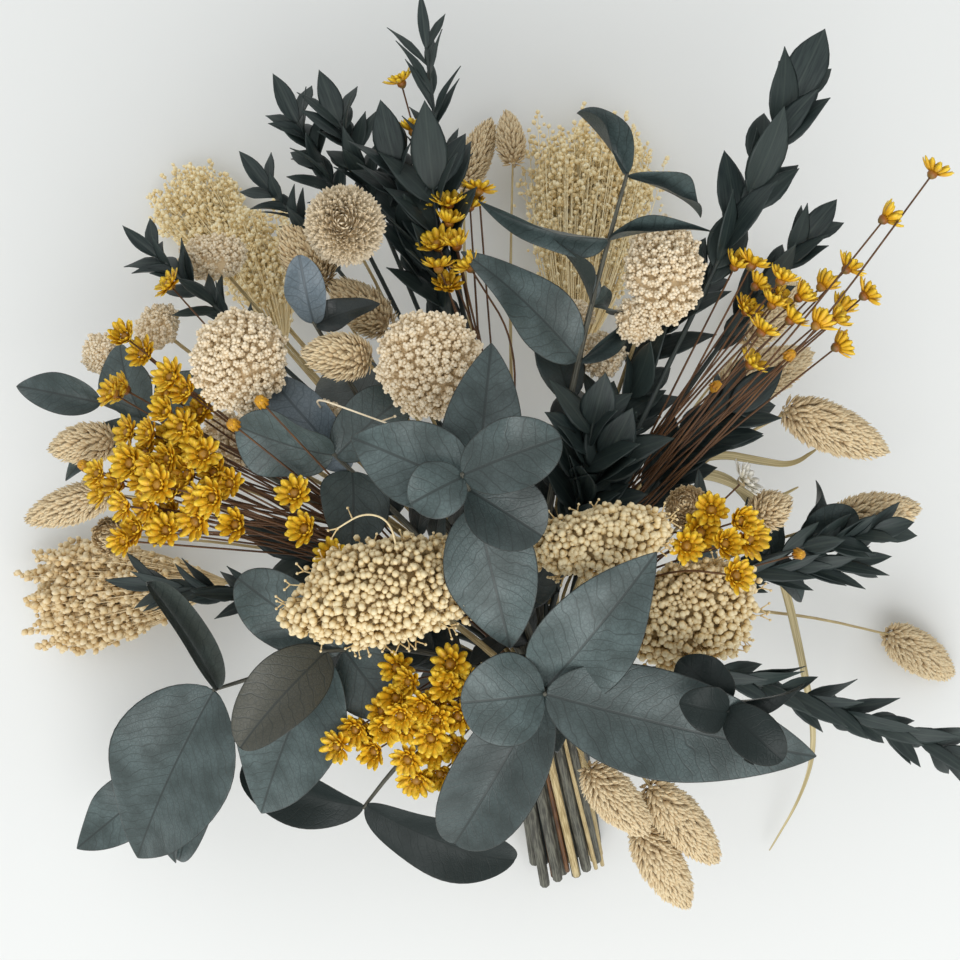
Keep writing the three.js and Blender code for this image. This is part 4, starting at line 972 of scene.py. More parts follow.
def boat(rings, sides, keel, sweep, shape):
    """A pointed scale along z, as wide as its outline at t, folded to a keel toward +y and swept as t^2."""
    t, a = np.meshgrid(np.linspace(0.03, 0.97, rings), ring_angles(sides), indexing="ij")
    half = 0.5 * outline(t, shape)
    out = np.cos(a) * half
    y = keel * (half - np.abs(out)) + 0.03 * np.sin(a) + sweep * t ** 2
    return closed_skin(np.stack([out, y, t], -1), depth=t)


SCALE = boat(5, 4, 0.5, 0.2, (0.6, 0.95))
RAY = boat(6, 4, -0.3, 0.2, (0.72, 0.58))
HUSK = turned_skin([-1, -0.8, -0.45, -0.1, 0.1], [0.16, 0.62, 0.98, 1.0, 0.86], 9,
                   [-0.5, -0.4, -0.1, 0.3, 0.5])


SCALES = 2.1  # of a grass head, to a square millimetre of its length by its radius
FLUFFED_SCALES = 1.2  # and how many more where it is fluffed by 1


def grass_head(base, tip, radius, random, fluffed):
    """An egg of overlapping keeled scales with free points, on a golden-angle spiral: as wide as
    radius sin(pi t^0.88)^0.6 along its axis. Its scales lean out by fluffed more than usual, as a tangent."""
    base, tip = np.array(base, float), np.array(tip, float)
    run = tip - base
    length = np.linalg.norm(run)
    axis = run / length
    count = int((SCALES + FLUFFED_SCALES * fluffed) * length * radius)
    t = np.linspace(0.001, 0.999, 400)
    egg = np.sin(np.pi * t ** 0.88) ** 0.6
    spread = np.cumsum(egg)
    place = np.interp((np.arange(count) + 0.5) / count, spread / spread[-1], t)
    girth = np.interp(place, t, egg) * radius
    slope = np.clip(np.interp(place, t, np.gradient(egg * radius, t * length)), -1.6, 1.6)[:, None]
    angle = GOLDEN_ANGLE * np.arange(count) + random.normal(0, 0.12, count)
    u = across(UP if abs(axis[2]) < 0.8 else RIGHT, axis)
    v = np.cross(axis, u)
    outward = np.cos(angle)[:, None] * u + np.sin(angle)[:, None] * v
    tangent = unit(axis + outward * slope)
    normal = unit(outward - axis * slope)
    lean = fluffed + random.uniform(0.32, 0.72, count)[:, None]
    z = unit(tangent + normal * lean + 0.12 * random.normal(0, 1, (count, 1)) * np.cross(normal, tangent))
    y = across(normal, z)
    x = np.cross(y, z)
    origins = base + run * (place * 0.9)[:, None] + outward * (girth * 0.83)[:, None]
    scale_size = (radius / 9) ** 0.4  # a scale's size grows slower than its head's
    long = random.uniform(3.8, 5.2, count) * scale_size * (1 + 0.4 * fluffed)
    wide = random.uniform(2.0, 2.7, count) * scale_size
    scales = copies(SCALE, origins, np.stack([x, y, z], 1), np.stack([wide, wide, long], 1),
                    random.uniform(0, 1, count))
    # Fluffed scales keep paler colour down to their roots: painted light in the shade between open scales.
    scales[2]["depth"] = fluffed + (1 - fluffed) * scales[2]["depth"]
    core = core_skin(base + run * 0.47, np.stack([u, v, axis]),
                     [0.88 * radius, 0.88 * radius, 0.43 * length], 0.6)
    return joined([scales, core])


# A star flower's whorls: [rays, lift when open, length and width in flower radii, turn], angles in radians.
WHORLS = [[11, 0.05, 0.98, 0.5, 0.0], [10, 0.38, 0.84, 0.44, 0.3], [9, 0.85, 0.4, 0.3, 0.1]]


def star_flower(middle, facing, radius, openness, random):
    """A papery star: a rounded husk, two whorls of broad pointed rays that lie back as it opens, a steep
    inner whorl, and a low domed heart inside."""
    axis = unit(facing)
    u = across(RIGHT if abs(axis[0]) < 0.8 else UP, axis)
    v = np.cross(axis, u)
    origins, rows, sizes = [], [], []
    for number, lift, long, wide, start in WHORLS:
        angle = ring_angles(number) + start + random.normal(0, 0.08, number)
        up = lift + (1.25 - lift) * (1 - openness) + random.normal(0, 0.12, number)
        out = np.cos(angle)[:, None] * u + np.sin(angle)[:, None] * v
        z = out * np.cos(up)[:, None] + axis * np.sin(up)[:, None]
        y = axis * np.cos(up)[:, None] - out * np.sin(up)[:, None]
        origins.append(middle + out * 0.3 * radius)
        rows.append(np.stack([np.cross(y, z), y, z], 1))
        span = long * radius * (1.3 - 0.3 * openness) * random.uniform(0.9, 1.1, number)
        sizes.append(np.stack([np.full(number, wide * radius), np.full(number, 0.6 * radius), span], 1))
    rays = copies(RAY, np.concatenate(origins), np.concatenate(rows), np.concatenate(sizes),
                  random.uniform(0, 1, sum(len(size) for size in sizes)))
    frame_axes = np.stack([u, v, axis])[None]
    husk = copies(HUSK, middle[None], frame_axes, np.array([[0.36, 0.36, 0.5]]) * radius, [0.0])
    husk[2]["depth"] -= 0.6
    heart = copies(BEAD, (middle + axis * 0.1 * radius)[None], frame_axes,
                   np.array([[0.32, 0.32, 0.2]]) * radius, [0.5])
    heart[2]["depth"] = heart[2]["depth"] * 0.35 - 1.0
    return joined([rays, husk, heart])


def bud(middle, facing, radius, random):
    """A closed round bud: an egg with eight scales pressed to it, that meet over its top."""
    axis = unit(np.array(facing, float))
    axes = facing_axes(axis[None], np.zeros(1))
    egg = copies(BEAD, middle[None], axes, np.array([[0.9, 0.9, 1.0]]) * radius, [0.5])
    egg[2]["depth"] = egg[2]["depth"] * 0.3 - 0.4
    number = 8
    angle = ring_angles(number) + random.uniform(0, 1)
    out = np.cos(angle)[:, None] * axes[0, 0] + np.sin(angle)[:, None] * axes[0, 1]
    z = unit(axis - 0.22 * out)
    y = -across(out, z)
    origins = middle - 0.75 * radius * axis + 0.92 * radius * out
    sizes = np.tile(np.array([0.85, 0.5, 1.7]) * radius, (number, 1))
    scales = copies(RAY, origins, np.stack([np.cross(y, z), y, z], 1), sizes, random.uniform(0, 0.6, number))
    scales[2]["depth"] = scales[2]["depth"] * 0.9 - 0.45
    return joined([egg, scales])


# ---- Finishes ----
LEAVES_APART = 900.0  # mm between two leaves in a pattern, when their tones are 1 apart


def linear(hex_colour):
    """An sRGB hex value as linear red, green and blue, with alpha 1."""
    srgb = np.array([(hex_colour >> shift) & 255 for shift in (16, 8, 0)]) / 255
    rgb = np.where(srgb <= 0.04045, srgb / 12.92, ((srgb + 0.055) / 1.055) ** 2.4)
    return (*rgb.tolist(), 1.0)


def add_node(tree, kind, feeds, out=None, **settings):
    """Adds a shader node with its settings and links, and returns the output named out, or else its first.
    feeds gives inputs a value or the output that they read: by name, or in the order of those in use."""
    made = tree.nodes.new("ShaderNode" + kind)
    for key, value in settings.items():
        setattr(made, key, value)
    in_use = [socket for socket in made.inputs if socket.enabled]
    named = isinstance(feeds, dict)
    for key, value in feeds.items() if named else enumerate(feeds):
        socket = made.inputs[key] if named else in_use[key]
        if isinstance(value, bpy.types.NodeSocket):
            tree.links.new(value, socket)
        else:
            socket.default_value = value
    return made.outputs[out] if out else next(socket for socket in made.outputs if socket.enabled)


COLOURS = {"data_type": "RGBA"}  # Mix: [share of the second, first, second]
EASED = {"interpolation_type": "SMOOTHSTEP"}  # Map Range: [value, from, to, result there, result here]


def new_finish(name, roughness, **constants):
    """A material and its add_node. The constants go on the shader's own sockets."""
    material = bpy.data.materials.new(name)
    material.use_nodes = True
    sockets = material.node_tree.nodes["Principled BSDF"].inputs
    for key, value in {"Roughness": roughness, **constants}.items():
        sockets[key.replace("_", " ")].default_value = value
    return material, partial(add_node, material.node_tree)


def finished(material, height, strength, rise, **outputs):
    """Links the outputs to the shader, with a relief whose height of 1 stands rise metres out."""
    tree = material.node_tree
    relief = add_node(tree, "Bump", {"Height": height, "Strength": strength, "Distance": rise})
    for key, output in {**outputs, "Normal": relief}.items():
        tree.links.new(output, tree.nodes["Principled BSDF"].inputs[key.replace("_", " ")])
    return material


def eucalyptus_leaf_finish(name, gloss):
    """Preserved eucalyptus leaf, dyed blue-green under its own wax: a dusty grey bloom that is uneven over
    the blade, smoother where it is thick, with dark side veins and net, and a thin dark margin."""
    material, node = new_finish(name, 0.4, Specular_IOR_Level=gloss)
    place = node("Attribute", [], "Vector", attribute_name="leaf_place")
    out, length, top = [node("SeparateXYZ", [place], part) for part in "XYZ"]
    rim, tone = [node("Attribute", [], "Fac", attribute_name=value) for value in ("rim", "tone")]
    # The leaf laid flat, in mm, at a place of its own in the patterns.
    shifted = node("Math", [tone, LEAVES_APART, out], operation="MULTIPLY_ADD")
    flat = node("CombineXYZ", [shifted, length, 0.0])
    # Clouds of bloom 14 mm across, the veins' wavering over as much, and dust of half a millimetre.
    cloud = node("TexNoise", {"Vector": flat, "Scale": 0.07, "Detail": 5.0})
    waver = node("TexNoise", {"Vector": flat, "Scale": 0.07, "Detail": 2.0})
    grain = node("TexNoise", {"Vector": flat, "Scale": 2.2, "Detail": 3.0})
    # Side veins every 5 mm, leaving the midrib at about 50 degrees.
    side = node("Math", [out], operation="ABSOLUTE")
    slant = node("Math", [side, -0.85, length], operation="MULTIPLY_ADD")
    wavering = node("Math", [waver, 12.0, slant], operation="MULTIPLY_ADD")
    to_vein = node("Math", [wavering, 2.5], operation="PINGPONG")
    side_vein = node("MapRange", [to_vein, 0.05, 0.42, 0.6, 0.0], **EASED)
    # The net between them, in meshes of about 1.7 mm.
    net = node("TexVoronoi", {"Vector": flat, "Scale": 0.6}, feature="DISTANCE_TO_EDGE")
    net_vein = node("MapRange", [net, 0.0, 0.16, 0.3, 0.0], **EASED)
    midrib = node("MapRange", [side, 0.25, 0.75, 0.75, 0.0], **EASED)
    fine_veins = node("Math", [net_vein, side_vein], operation="MAXIMUM")
    veins = node("Math", [fine_veins, midrib], operation="MAXIMUM")
    # From the dyed blade out: bloom, brown leaves, veins, the underside, dust, dark leaves, and the margin.
    colour = linear(0x3B4948)
    for share, coat in [
        (node("MapRange", [cloud, 0.32, 0.68, 0.0, 1.0], **EASED), 0x586868),
        (node("MapRange", [tone, -0.2, -0.4, 0.0, 1.0], **EASED), 0x4A4A40),
        (veins, 0x262E2D),
        # The underside, darker and greener: partly its own colour and partly painted shade under the leaf.
        (node("MapRange", [top, -0.25, 0.05, 1.0, 0.0], **EASED), 0x434C49),
        (node("MapRange", [grain, 0.58, 0.78, 0.0, 0.22], **EASED), 0x87938F),
        (node("MapRange", [tone, 0.0, 1.0, 0.0, 0.93], **EASED), 0x1A2221),
        (node("MapRange", [rim, 0.15, 0.6, 0.7, 0.0], **EASED), 0x2A2D2A),
    ]:
        colour = node("Mix", [share, colour, linear(coat)], **COLOURS)
    # The leaves that are dusty grey-blue all over.
    dusty = node("Mix", [veins, linear(0x66747D), linear(0x3A454B)], **COLOURS)
    is_dusty = node("MapRange", [tone, 1.2, 1.4, 0.0, 1.0], **EASED)
    colour = node("Mix", [is_dusty, colour, dusty], **COLOURS)
    dull = node("MapRange", [cloud, 0.35, 0.65, 0.5, 0.34], **EASED)
    dust = node("Math", [grain, 0.35], operation="MULTIPLY")
    relief = node("Math", [veins, -1.0, dust], operation="MULTIPLY_ADD")
    return finished(material, relief, 0.35, 0.0004, Base_Color=colour, Roughness=dull)


def ruscus_leaf_finish():
    """Preserved ruscus leaf, dyed near black-green: smooth, with a low waxy gloss and fine long veins."""
    material, node = new_finish("preserved ruscus leaf", 0.5, Specular_IOR_Level=0.4)
    place = node("Attribute", [], "Vector", attribute_name="leaf_place")
    out, length = [node("SeparateXYZ", [place], part) for part in "XY"]
    tone = node("Attribute", [], "Fac", attribute_name="tone")
    # Veins 0.8 mm apart across the leaf, drawn out twelve times along it.
    shifted = node("Math", [tone, LEAVES_APART, out], operation="MULTIPLY_ADD")
    drawn_out = node("Math", [length, 0.08], operation="MULTIPLY")
    streak = node("CombineXYZ", [shifted, drawn_out, 0.0])
    vein = node("TexNoise", {"Vector": streak, "Scale": 1.3, "Detail": 3.0})
    side = node("Math", [out], operation="ABSOLUTE")
    colour = linear(0x1F2A2B)
    for share, coat in [
        (node("MapRange", [vein, 0.35, 0.65, 0.0, 1.0], **EASED), 0x2E3A38),
        (node("MapRange", [tone, 0.3, 1.0, 0.0, 0.5], **EASED), 0x343F3C),
        (node("MapRange", [side, 0.15, 0.5, 0.5, 0.0], **EASED), 0x3F4A45),
    ]:
        colour = node("Mix", [share, colour, linear(coat)], **COLOURS)
    return finished(material, vein, 0.3, 0.0003, Base_Color=colour)


def petal_finish(name, stops, roughness):
    """A papery dried flower part: its colour runs through the stops from its root to its tip, lighter and
    darker from one to the next, with a dry grain of 1.1 mm and stains of 11 mm. Its darker root stops are
    partly its own colour and partly painted shade low down between parts."""
    material, node = new_finish(name, roughness)
    depth, tone = [node("Attribute", [], "Fac", attribute_name=value) for value in ("depth", "tone")]
    place = node("TexCoord", [], "Object")
    grain = node("TexNoise", {"Vector": place, "Scale": 900.0, "Detail": 3.0})
    stain = node("TexNoise", {"Vector": place, "Scale": 90.0, "Detail": 2.0})
    # The darker root stops, low down between parts, are partly their own colour and partly painted shade.
    (root, first), *rest = stops
    lows = [root, *(low for low, _ in rest)]
    coats = [([depth, low, high, 0.0, 1.0], hex_colour) for low, (high, hex_colour) in zip(lows, rest)]
    coats += [
        ([tone, 0.0, 1.0, 0.0, 0.28], stops[-1][1]),
        ([stain, 0.42, 0.7, 0.0, 0.28], stops[-2][1]),
        ([grain, 0.45, 0.7, 0.0, 0.2], first),
    ]
    colour = linear(first)
    for share, coat in coats:
        colour = node("Mix", [node("MapRange", share, **EASED), colour, linear(coat)], **COLOURS)
    return finished(material, grain, 0.4, 0.0002, Base_Color=colour)


def stem_finish(name, dark, light, roughness):
    """A dried stem or blade: its skin runs between a dark and a light colour in streaks along its length."""
    material, node = new_finish(name, roughness)
    place = node("Attribute", [], "Vector", attribute_name="stem_place")
    skin = node("TexNoise", {"Vector": place, "Scale": 1.4, "Detail": 4.0})
    share = node("MapRange", [skin, 0.38, 0.64, 0.0, 1.0], **EASED)
    colour = node("Mix", [share, linear(dark), linear(light)], **COLOURS)
    return finished(material, skin, 0.4, 0.0003, Base_Color=colour)


def twine_finish():
    """Jute twine of two plies: dull tan fibre of 0.6 mm, with painted shade in the valleys between the plies.
    """
    material, node = new_finish("jute twine", 0.9)
    place = node("TexCoord", [], "Object")
    ply = node("Attribute", [], "Fac", attribute_name="ply")
    fibre = node("TexNoise", {"Vector": place, "Scale": 1600.0, "Detail": 4.0})
    share = node("MapRange", [fibre, 0.3, 0.7, 0.0, 1.0], **EASED)
    body = node("Mix", [share, linear(0x7C6340), linear(0xB49870)], **COLOURS)
    # Painted shade: dark brown in the valleys between the plies.
    valley_shade = node("MapRange", [ply, 0.0, 0.5, 0.8, 0.0], **EASED)
    colour = node("Mix", [valley_shade, body, linear(0x4A3A24)], **COLOURS)
    height = node("Math", [fibre, 0.4, ply], operation="MULTIPLY_ADD")
    return finished(material, height, 0.6, 0.0005, Base_Color=colour)


EUCALYPTUS_LEAF = eucalyptus_leaf_finish("preserved eucalyptus leaf", 0.53)
# The darkest leaves took up more dye and have lost the gloss of their wax.
DARK_LEAF = eucalyptus_leaf_finish("dark-dyed eucalyptus leaf", 0.22)
RUSCUS_LEAF = ruscus_leaf_finish()
# Canary grass: papery husks, tan where they overlap and pale at their thin dry tips; the tan is partly their
# own colour and partly painted shade.
GRASS_HUSK = petal_finish(
    "dried canary grass husk", [(0.0, 0xC6A573), (0.35, 0xD9BE92), (1.0, 0xECDAB4)], 0.8)
# Bleached everlasting: cream florets, warm tan down between them and nearly white at their knobs; the tan
# is partly their own colour and partly painted shade.
CREAM_FLORET = petal_finish(
    "bleached everlasting floret", [(0.0, 0xCDB084), (0.4, 0xE9D4AE), (1.0, 0xF8EACF)], 0.85)
# Rice flower: hard round buds, golden underneath and pale straw on top; the gold underneath is partly their
# own colour and partly painted shade.
RICE_BUD = petal_finish(
    "dried rice flower bud", [(0.0, 0x9E7C3E), (0.4, 0xDBBE84), (1.0, 0xF3E3BA)], 0.6)
# Bead plume: dry buds that are finer and paler than the rice flower's, on pale stalks.
PLUME_BUD = petal_finish(
    "dried bead plume", [(0.0, 0xF2D8A0), (0.4, 0xFCE7B4), (1.0, 0xFFF6D4)], 0.75)
# Aged bead plume: the same buds, gone tan.
AGED_PLUME_BUD = petal_finish(
    "aged bead plume", [(0.0, 0xCFAE78), (0.4, 0xE6CD9C), (1.0, 0xF5E5C2)], 0.75)
# Dyed star flower: papery rays with a low gloss, saffron at the tips, with an orange-brown heart.
STAR_RAY = petal_finish("dyed star flower ray", [
    (-1.0, 0x6E5A34), (-0.6, 0x8A4E12), (0.0, 0xB8780C), (0.3, 0xE9AC12), (1.0, 0xFFD93C)], 0.42)
# Bleached star flower: the same papery rays with the dye taken out, nearly white with a straw heart.
WHITE_RAY = petal_finish("bleached star flower ray", [
    (-1.0, 0x8C7A50), (-0.3, 0xB79A5C), (0.0, 0xDCCFA8), (0.4, 0xEFE9D6), (1.0, 0xFBF9F1)], 0.5)
# Stems and blades: grey bark, dyed black-green skin, straw, wiry brown stalks and dry grass.
EUCALYPTUS_STEM = stem_finish("eucalyptus twig", 0x3B3A33, 0x6A6A5E, 0.7)
RUSCUS_STEM = stem_finish("ruscus stem", 0x20282A, 0x37413C, 0.6)
STRAW_STEM = stem_finish("dried grass stalk", 0x9A8558, 0xCBB98C, 0.7)
BROWN_STALK = stem_finish("brown star flower stalk", 0x3F240F, 0x76502A, 0.55)
GRASS_BLADE = stem_finish("dried grass blade", 0xA39468, 0xCDBF94, 0.6)
TWINE = twine_finish()

# ---- Pieces ----
TABLE_CLEAR = 0.2  # what lies on the table is pressed flat this far above it


def make_piece(part, skin, finish, node):
    """A skin as a part of a CAD node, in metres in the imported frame, that stands for the node."""
    points, faces, data = skin
    points = np.concatenate([points[:, :2], np.maximum(points[:, 2:], TABLE_CLEAR)], 1)
    name = f"{node}_{part}"
    mesh = bpy.data.meshes.new(name)
    used = faces >= 0
    sizes = used.sum(1)
    mesh.vertices.add(len(points))
    mesh.vertices.foreach_set("co", ((points + SHIFT) / 1000).astype(np.float32).ravel())
    mesh.loops.add(int(sizes.sum()))
    mesh.loops.foreach_set("vertex_index", faces[used].astype(np.int32))
    mesh.polygons.add(len(faces))
    mesh.polygons.foreach_set("loop_start", np.concatenate([[0], np.cumsum(sizes)[:-1]]).astype(np.int32))
    mesh.polygons.foreach_set("use_smooth", np.ones(len(faces), bool))
    for key, values in data.items():
        kind, field = ("FLOAT_VECTOR", "vector") if values.shape[1] == 3 else ("FLOAT", "value")
        attribute = mesh.attributes.new(key, kind, "POINT")
        attribute.data.foreach_set(field, values.astype(np.float32).ravel())
    mesh.update(calc_edges=True)
    mesh.validate()
    mesh.materials.append(finish)
    piece = bpy.data.objects.new(name, mesh)
    bpy.context.scene.collection.objects.link(piece)
    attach(piece, "root")
    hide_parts(node)


def stem_skin(name, thin=1.0, tip=TIP_TAPER):
    """A sprig's stems: round rods on the corner-cut routes, that taper over their last 0.7 to the tip."""
    rods = []
    for points, radius in ROUTES[name]:
        smooth = corner_cut(points, 2)
        place = reached(smooth)
        taper = np.interp(place / place[-1], [0, 0.3, 1], [1, 1, tip])
        rods.append(rod_skin(smooth, radius * thin * taper))
    return joined(rods)


def search_tree(points, faces):
    """A tree that finds what crosses the faces, with the corners of their box."""
    polygons = [[int(i) for i in face if i >= 0] for face in faces]
    return BVHTree.FromPolygons(points.tolist(), polygons), points.min(0), points.max(0)


TREES = {name: search_tree(*mesh) for name, mesh in CAD_MESHES.items()}
added = []  # the trees of the leaves inside the bunch
LEAST_HEIGHT = 0.5  # of a new leaf or flower above the table


def is_clear(skin, own):
    """Whether something new keeps off the table, the other sprigs' solids and the leaves inside the bunch."""
    shape, low, high = search_tree(*skin[:2])
    others = [entry for name, entry in TREES.items() if name != own] + added
    near = [tree for tree, bottom, top in others if np.all(low < top) and np.all(high > bottom)]
    return low[2] > LEAST_HEIGHT and not any(shape.overlap(tree) for tree in near)


def sprigs(kind, table, step, first):
    """Each sprig of a kind: its name in its table, its node, random draws of its own, and what it carries."""
    for name, rows in table.items():
        yield name, f"{kind}_{name}", np.random.default_rng(len(name) * step + first), rows


# Leaves that dried folded along the middle, by sprig and place in its list: [fold, twist, droop, roll], in
# radians and, for the droop, mm. The roll is about the midrib.
FOLDED = {
    ("low_left", 1): [1.15, 0.1, 2, 0], ("low_left", 3): [0.5, 0.4, 0, 0], ("low", 0): [0.5, 0.5, 0, 0],
    ("tall", 0): [1.15, 0.9, 0, -0.8], ("tall", 1): [1.15, -0.7, 4, -0.6], ("tall", 2): [1.05, 0.4, 6, 0],
    ("tall", 3): [1.25, 0.3, 6, 0], ("tall", 4): [0.9, 0.6, 3, 0], ("tall", 5): [0.8, 0.3, 3, 0],
    ("tall", 7): [1.1, -0.5, 4, 0], ("left", 0): [0.6, 0.3, 3, 0], ("left", 2): [0.8, -0.4, 4, 0],
    ("left_fan", 1): [0.45, 0.3, 6, 0], ("shoulder", 1): [0.3, -0.3, 3, 0], ("right", 0): [0.7, 0.4, 2, 0],
    ("round_leaved", 2): [0.7, 0.5, 3, 0],
}
# Leaves whose tip dried blunt and square.
BLUNT = {("low_left", 1): (0.5, 0.28)}
# Leaves with a tone of their own. From 0 to 1 it darkens; 1.5 is dusty grey-blue, and below 0 is brownish.
OTHER_TONES = {
    ("low_left", 0): 0.3, ("low_left", 1): -0.3, ("collar", 0): 1.5, ("collar", 1): 0.95,
    ("shoulder", 2): 1.5, ("left_fan", 1): -0.5,
}
# The least tone of a sprig's other leaves.
DARK_SPRIGS = {"round_leaved": 1.0, "low": 0.95, "tall": 0.12, "right": 0.6}
DARKEST = 0.5  # sprigs past this least tone have the dark-dyed finish
# Leaves that lie over or beside the CAD's, each on a thin stalk of its own:
# [limb, distance back from its end, lift of its foot, tip, width, tone].
ON_TOP = {
    "round_leaved": [[0, 2, 8, [105, -97, 214], 18, 1.0], [0, 3, 13, [70, -77, 218], 17, 1.0]],
    "low_left": [[1, 34, 0, [-141, -179, 46], 18, 0.25]],
}
ARCH = 0.06  # a eucalyptus leaf's rise, as a part of its length
CAD_FOLD = 0.12  # and how far its halves fold up in the CAD
NO_PAIRS = ("low", "low_left", "round_leaved")  # sprigs with no leaf pairs inside the bunch
PAIR_AFTER = 16  # from a stem's last leaf in the list down to the first of them
PAIR_STEP = 12  # from one pair to the next
BARE_STEM = 26  # above the tie
PAIR_TRIES = 24  # each at a new angle and a little smaller
PAIR_TOP = 160  # the pairs stay under this height, below the leaves and heads that are seen
PAIR_BELOW = 12  # and this far under their stem's end


def leaf_pairs(points, deepest, sprig, random):
    """Leaf pairs inside the bunch, down a stem: each leaf turns and shrinks until it is clear of the rest."""
    leaves = []
    length = reached(points)[-1]
    for back in np.arange(deepest + PAIR_AFTER, length - HANDLE_LENGTH - BARE_STEM, PAIR_STEP):
        base, way = along(points, back)
        azimuth = random.uniform(0, np.pi)
        for half_turn in (0, np.pi):
            size = random.uniform(36, 50)
            for trial in range(PAIR_TRIES):
                out = turned(across(RIGHT, way), way, azimuth + half_turn + 0.35 * trial)
                run = unit(way * (0.25 + 0.35 * (trial % 4)) + out)
                size *= 0.97
                # Their tone of 0.55 to 1 darkens them: painted shade deep inside the bunch.
                leaf = leaf_skin(
                    base, base + run * size, across(way + 0.4 * UP, run), 0.62 * size, POINTED, 12, 14, ARCH,
                    CAD_FOLD, wave=0.8, phase=size, tone=0.55 + 0.05 * (size % 9))
                if leaf[0][:, 2].max() < min(points[-1][2] - PAIR_BELOW, PAIR_TOP) and is_clear(leaf, sprig):
                    leaves.append(leaf)
                    added.append(search_tree(*leaf[:2]))
                    break
    return leaves


# Eucalyptus: the CAD's leaves by their found tries, the leaves on top, and leaf pairs down each stem.
LEAF_FACE = 0.35  # how much a leaf looks along its stem, against 1 up
for name, sprig, random, rows in sprigs("eucalyptus", EUCALYPTUS, 17, 3):
    tree = finder(sprig)
    leaves = []
    listed = 0
    for limb, (_, _, placed) in enumerate(rows):
        points = ROUTES[sprig][limb][0]
        for back, place, width, shape, roll in placed:
            base, way = along(points, back)

            def spot(attempt):
                """The leaf's tip, and the way that its upper side faces."""
                tip = np.array(place, float) + UP * attempt[1]
                run = unit(tip - base)
                return tip, turned(across(way * LEAF_FACE + UP, run), run, np.radians(roll + attempt[0]))

            attempt = used_try(tree, LEAF_TRIES, lambda attempt: cad_leaf(
                base, *spot(attempt), width, shape, 4, ARCH, CAD_FOLD))
            tip, face = spot(attempt)
            key = (name, listed)
            listed += 1
            plain = [random.uniform(0.12, 0.42), random.uniform(-0.5, 0.5), random.uniform(-2, 5), 0]
            fold, twist, droop, rolled = FOLDED.get(key, plain)
            face = turned(face, unit(tip - base), rolled)
            tone = max(0.6 * random.uniform(0, 1) ** 1.5, DARK_SPRIGS.get(name, 0))
            leaves.append(leaf_skin(
                base, tip, face, width, BLUNT.get(key, shape), 26, 26, ARCH, fold,
                wave=random.uniform(1.0, 2.8), twist=twist, droop=droop, phase=random.uniform(0, 6.3),
                tone=OTHER_TONES.get(key, tone)))
        for at_limb, back, lift, tip, width, tone in ON_TOP.get(name, []):
            if at_limb == limb:
                start = along(points, back)[0]
                foot = start + UP * lift
                leaves.append(leaf_skin(
                    start, foot + UP, RIGHT, 2.2, ROUND, 4, 6, 0, 0, thick=1.6, tone=tone))
                leaves.append(leaf_skin(
                    foot, np.array(tip, float), UP, width, ROUND, 20, 20, 0.08, 0.25, wave=1.0, twist=0.2,
                    droop=3, phase=width, tone=tone))
        if name not in NO_PAIRS:
            leaves += leaf_pairs(points, max(back for back, *_ in placed), sprig, random)
    finish = DARK_LEAF if DARK_SPRIGS.get(name, 0) > DARKEST else EUCALYPTUS_LEAF
    make_piece("leaves", joined(leaves), finish, sprig)
    make_piece("stem", stem_skin(sprig, tip=0.3), EUCALYPTUS_STEM, sprig)

# Ruscus: the CAD's leaves, and others between them.
TURN = np.radians(137.5)  # round the stem, from one leaf to the next
SPIRAL_STRAY = 0.6  # radians that a leaf strays from its turn
TIP_LEAN = np.radians(8)  # from the stem, for the leaf at the tip
LEANS = [38, 14]  # the least lean of the others, and how much it varies, in degrees
LENGTHS = [0.75, 0.35]  # the shortest leaf, and how much the lengths vary, in the row's length
SPRAY_FACE = [0.8, 0.6]  # how much a leaf looks along the stem and up
SPRAY_ARCH = 0.04
SPRAY_FOLD = 0.1  # in the CAD
FLAT_FOLD = 0.14  # of a leaf that dried nearly flat
# How near to the stem some sprays' leaves stand, as a part of the CAD's lean.
CLOSER = {"upper_right": 0.62, "right_upper": 0.62, "tall_narrow": 0.8, "low_right": 0.66, "right": 0.8,
          "right_narrow": 0.6, "low_left": 0.7}
BROAD = {"upper_right": 1.35, "right_upper": 1.25}  # widths of their leaves, in the CAD's
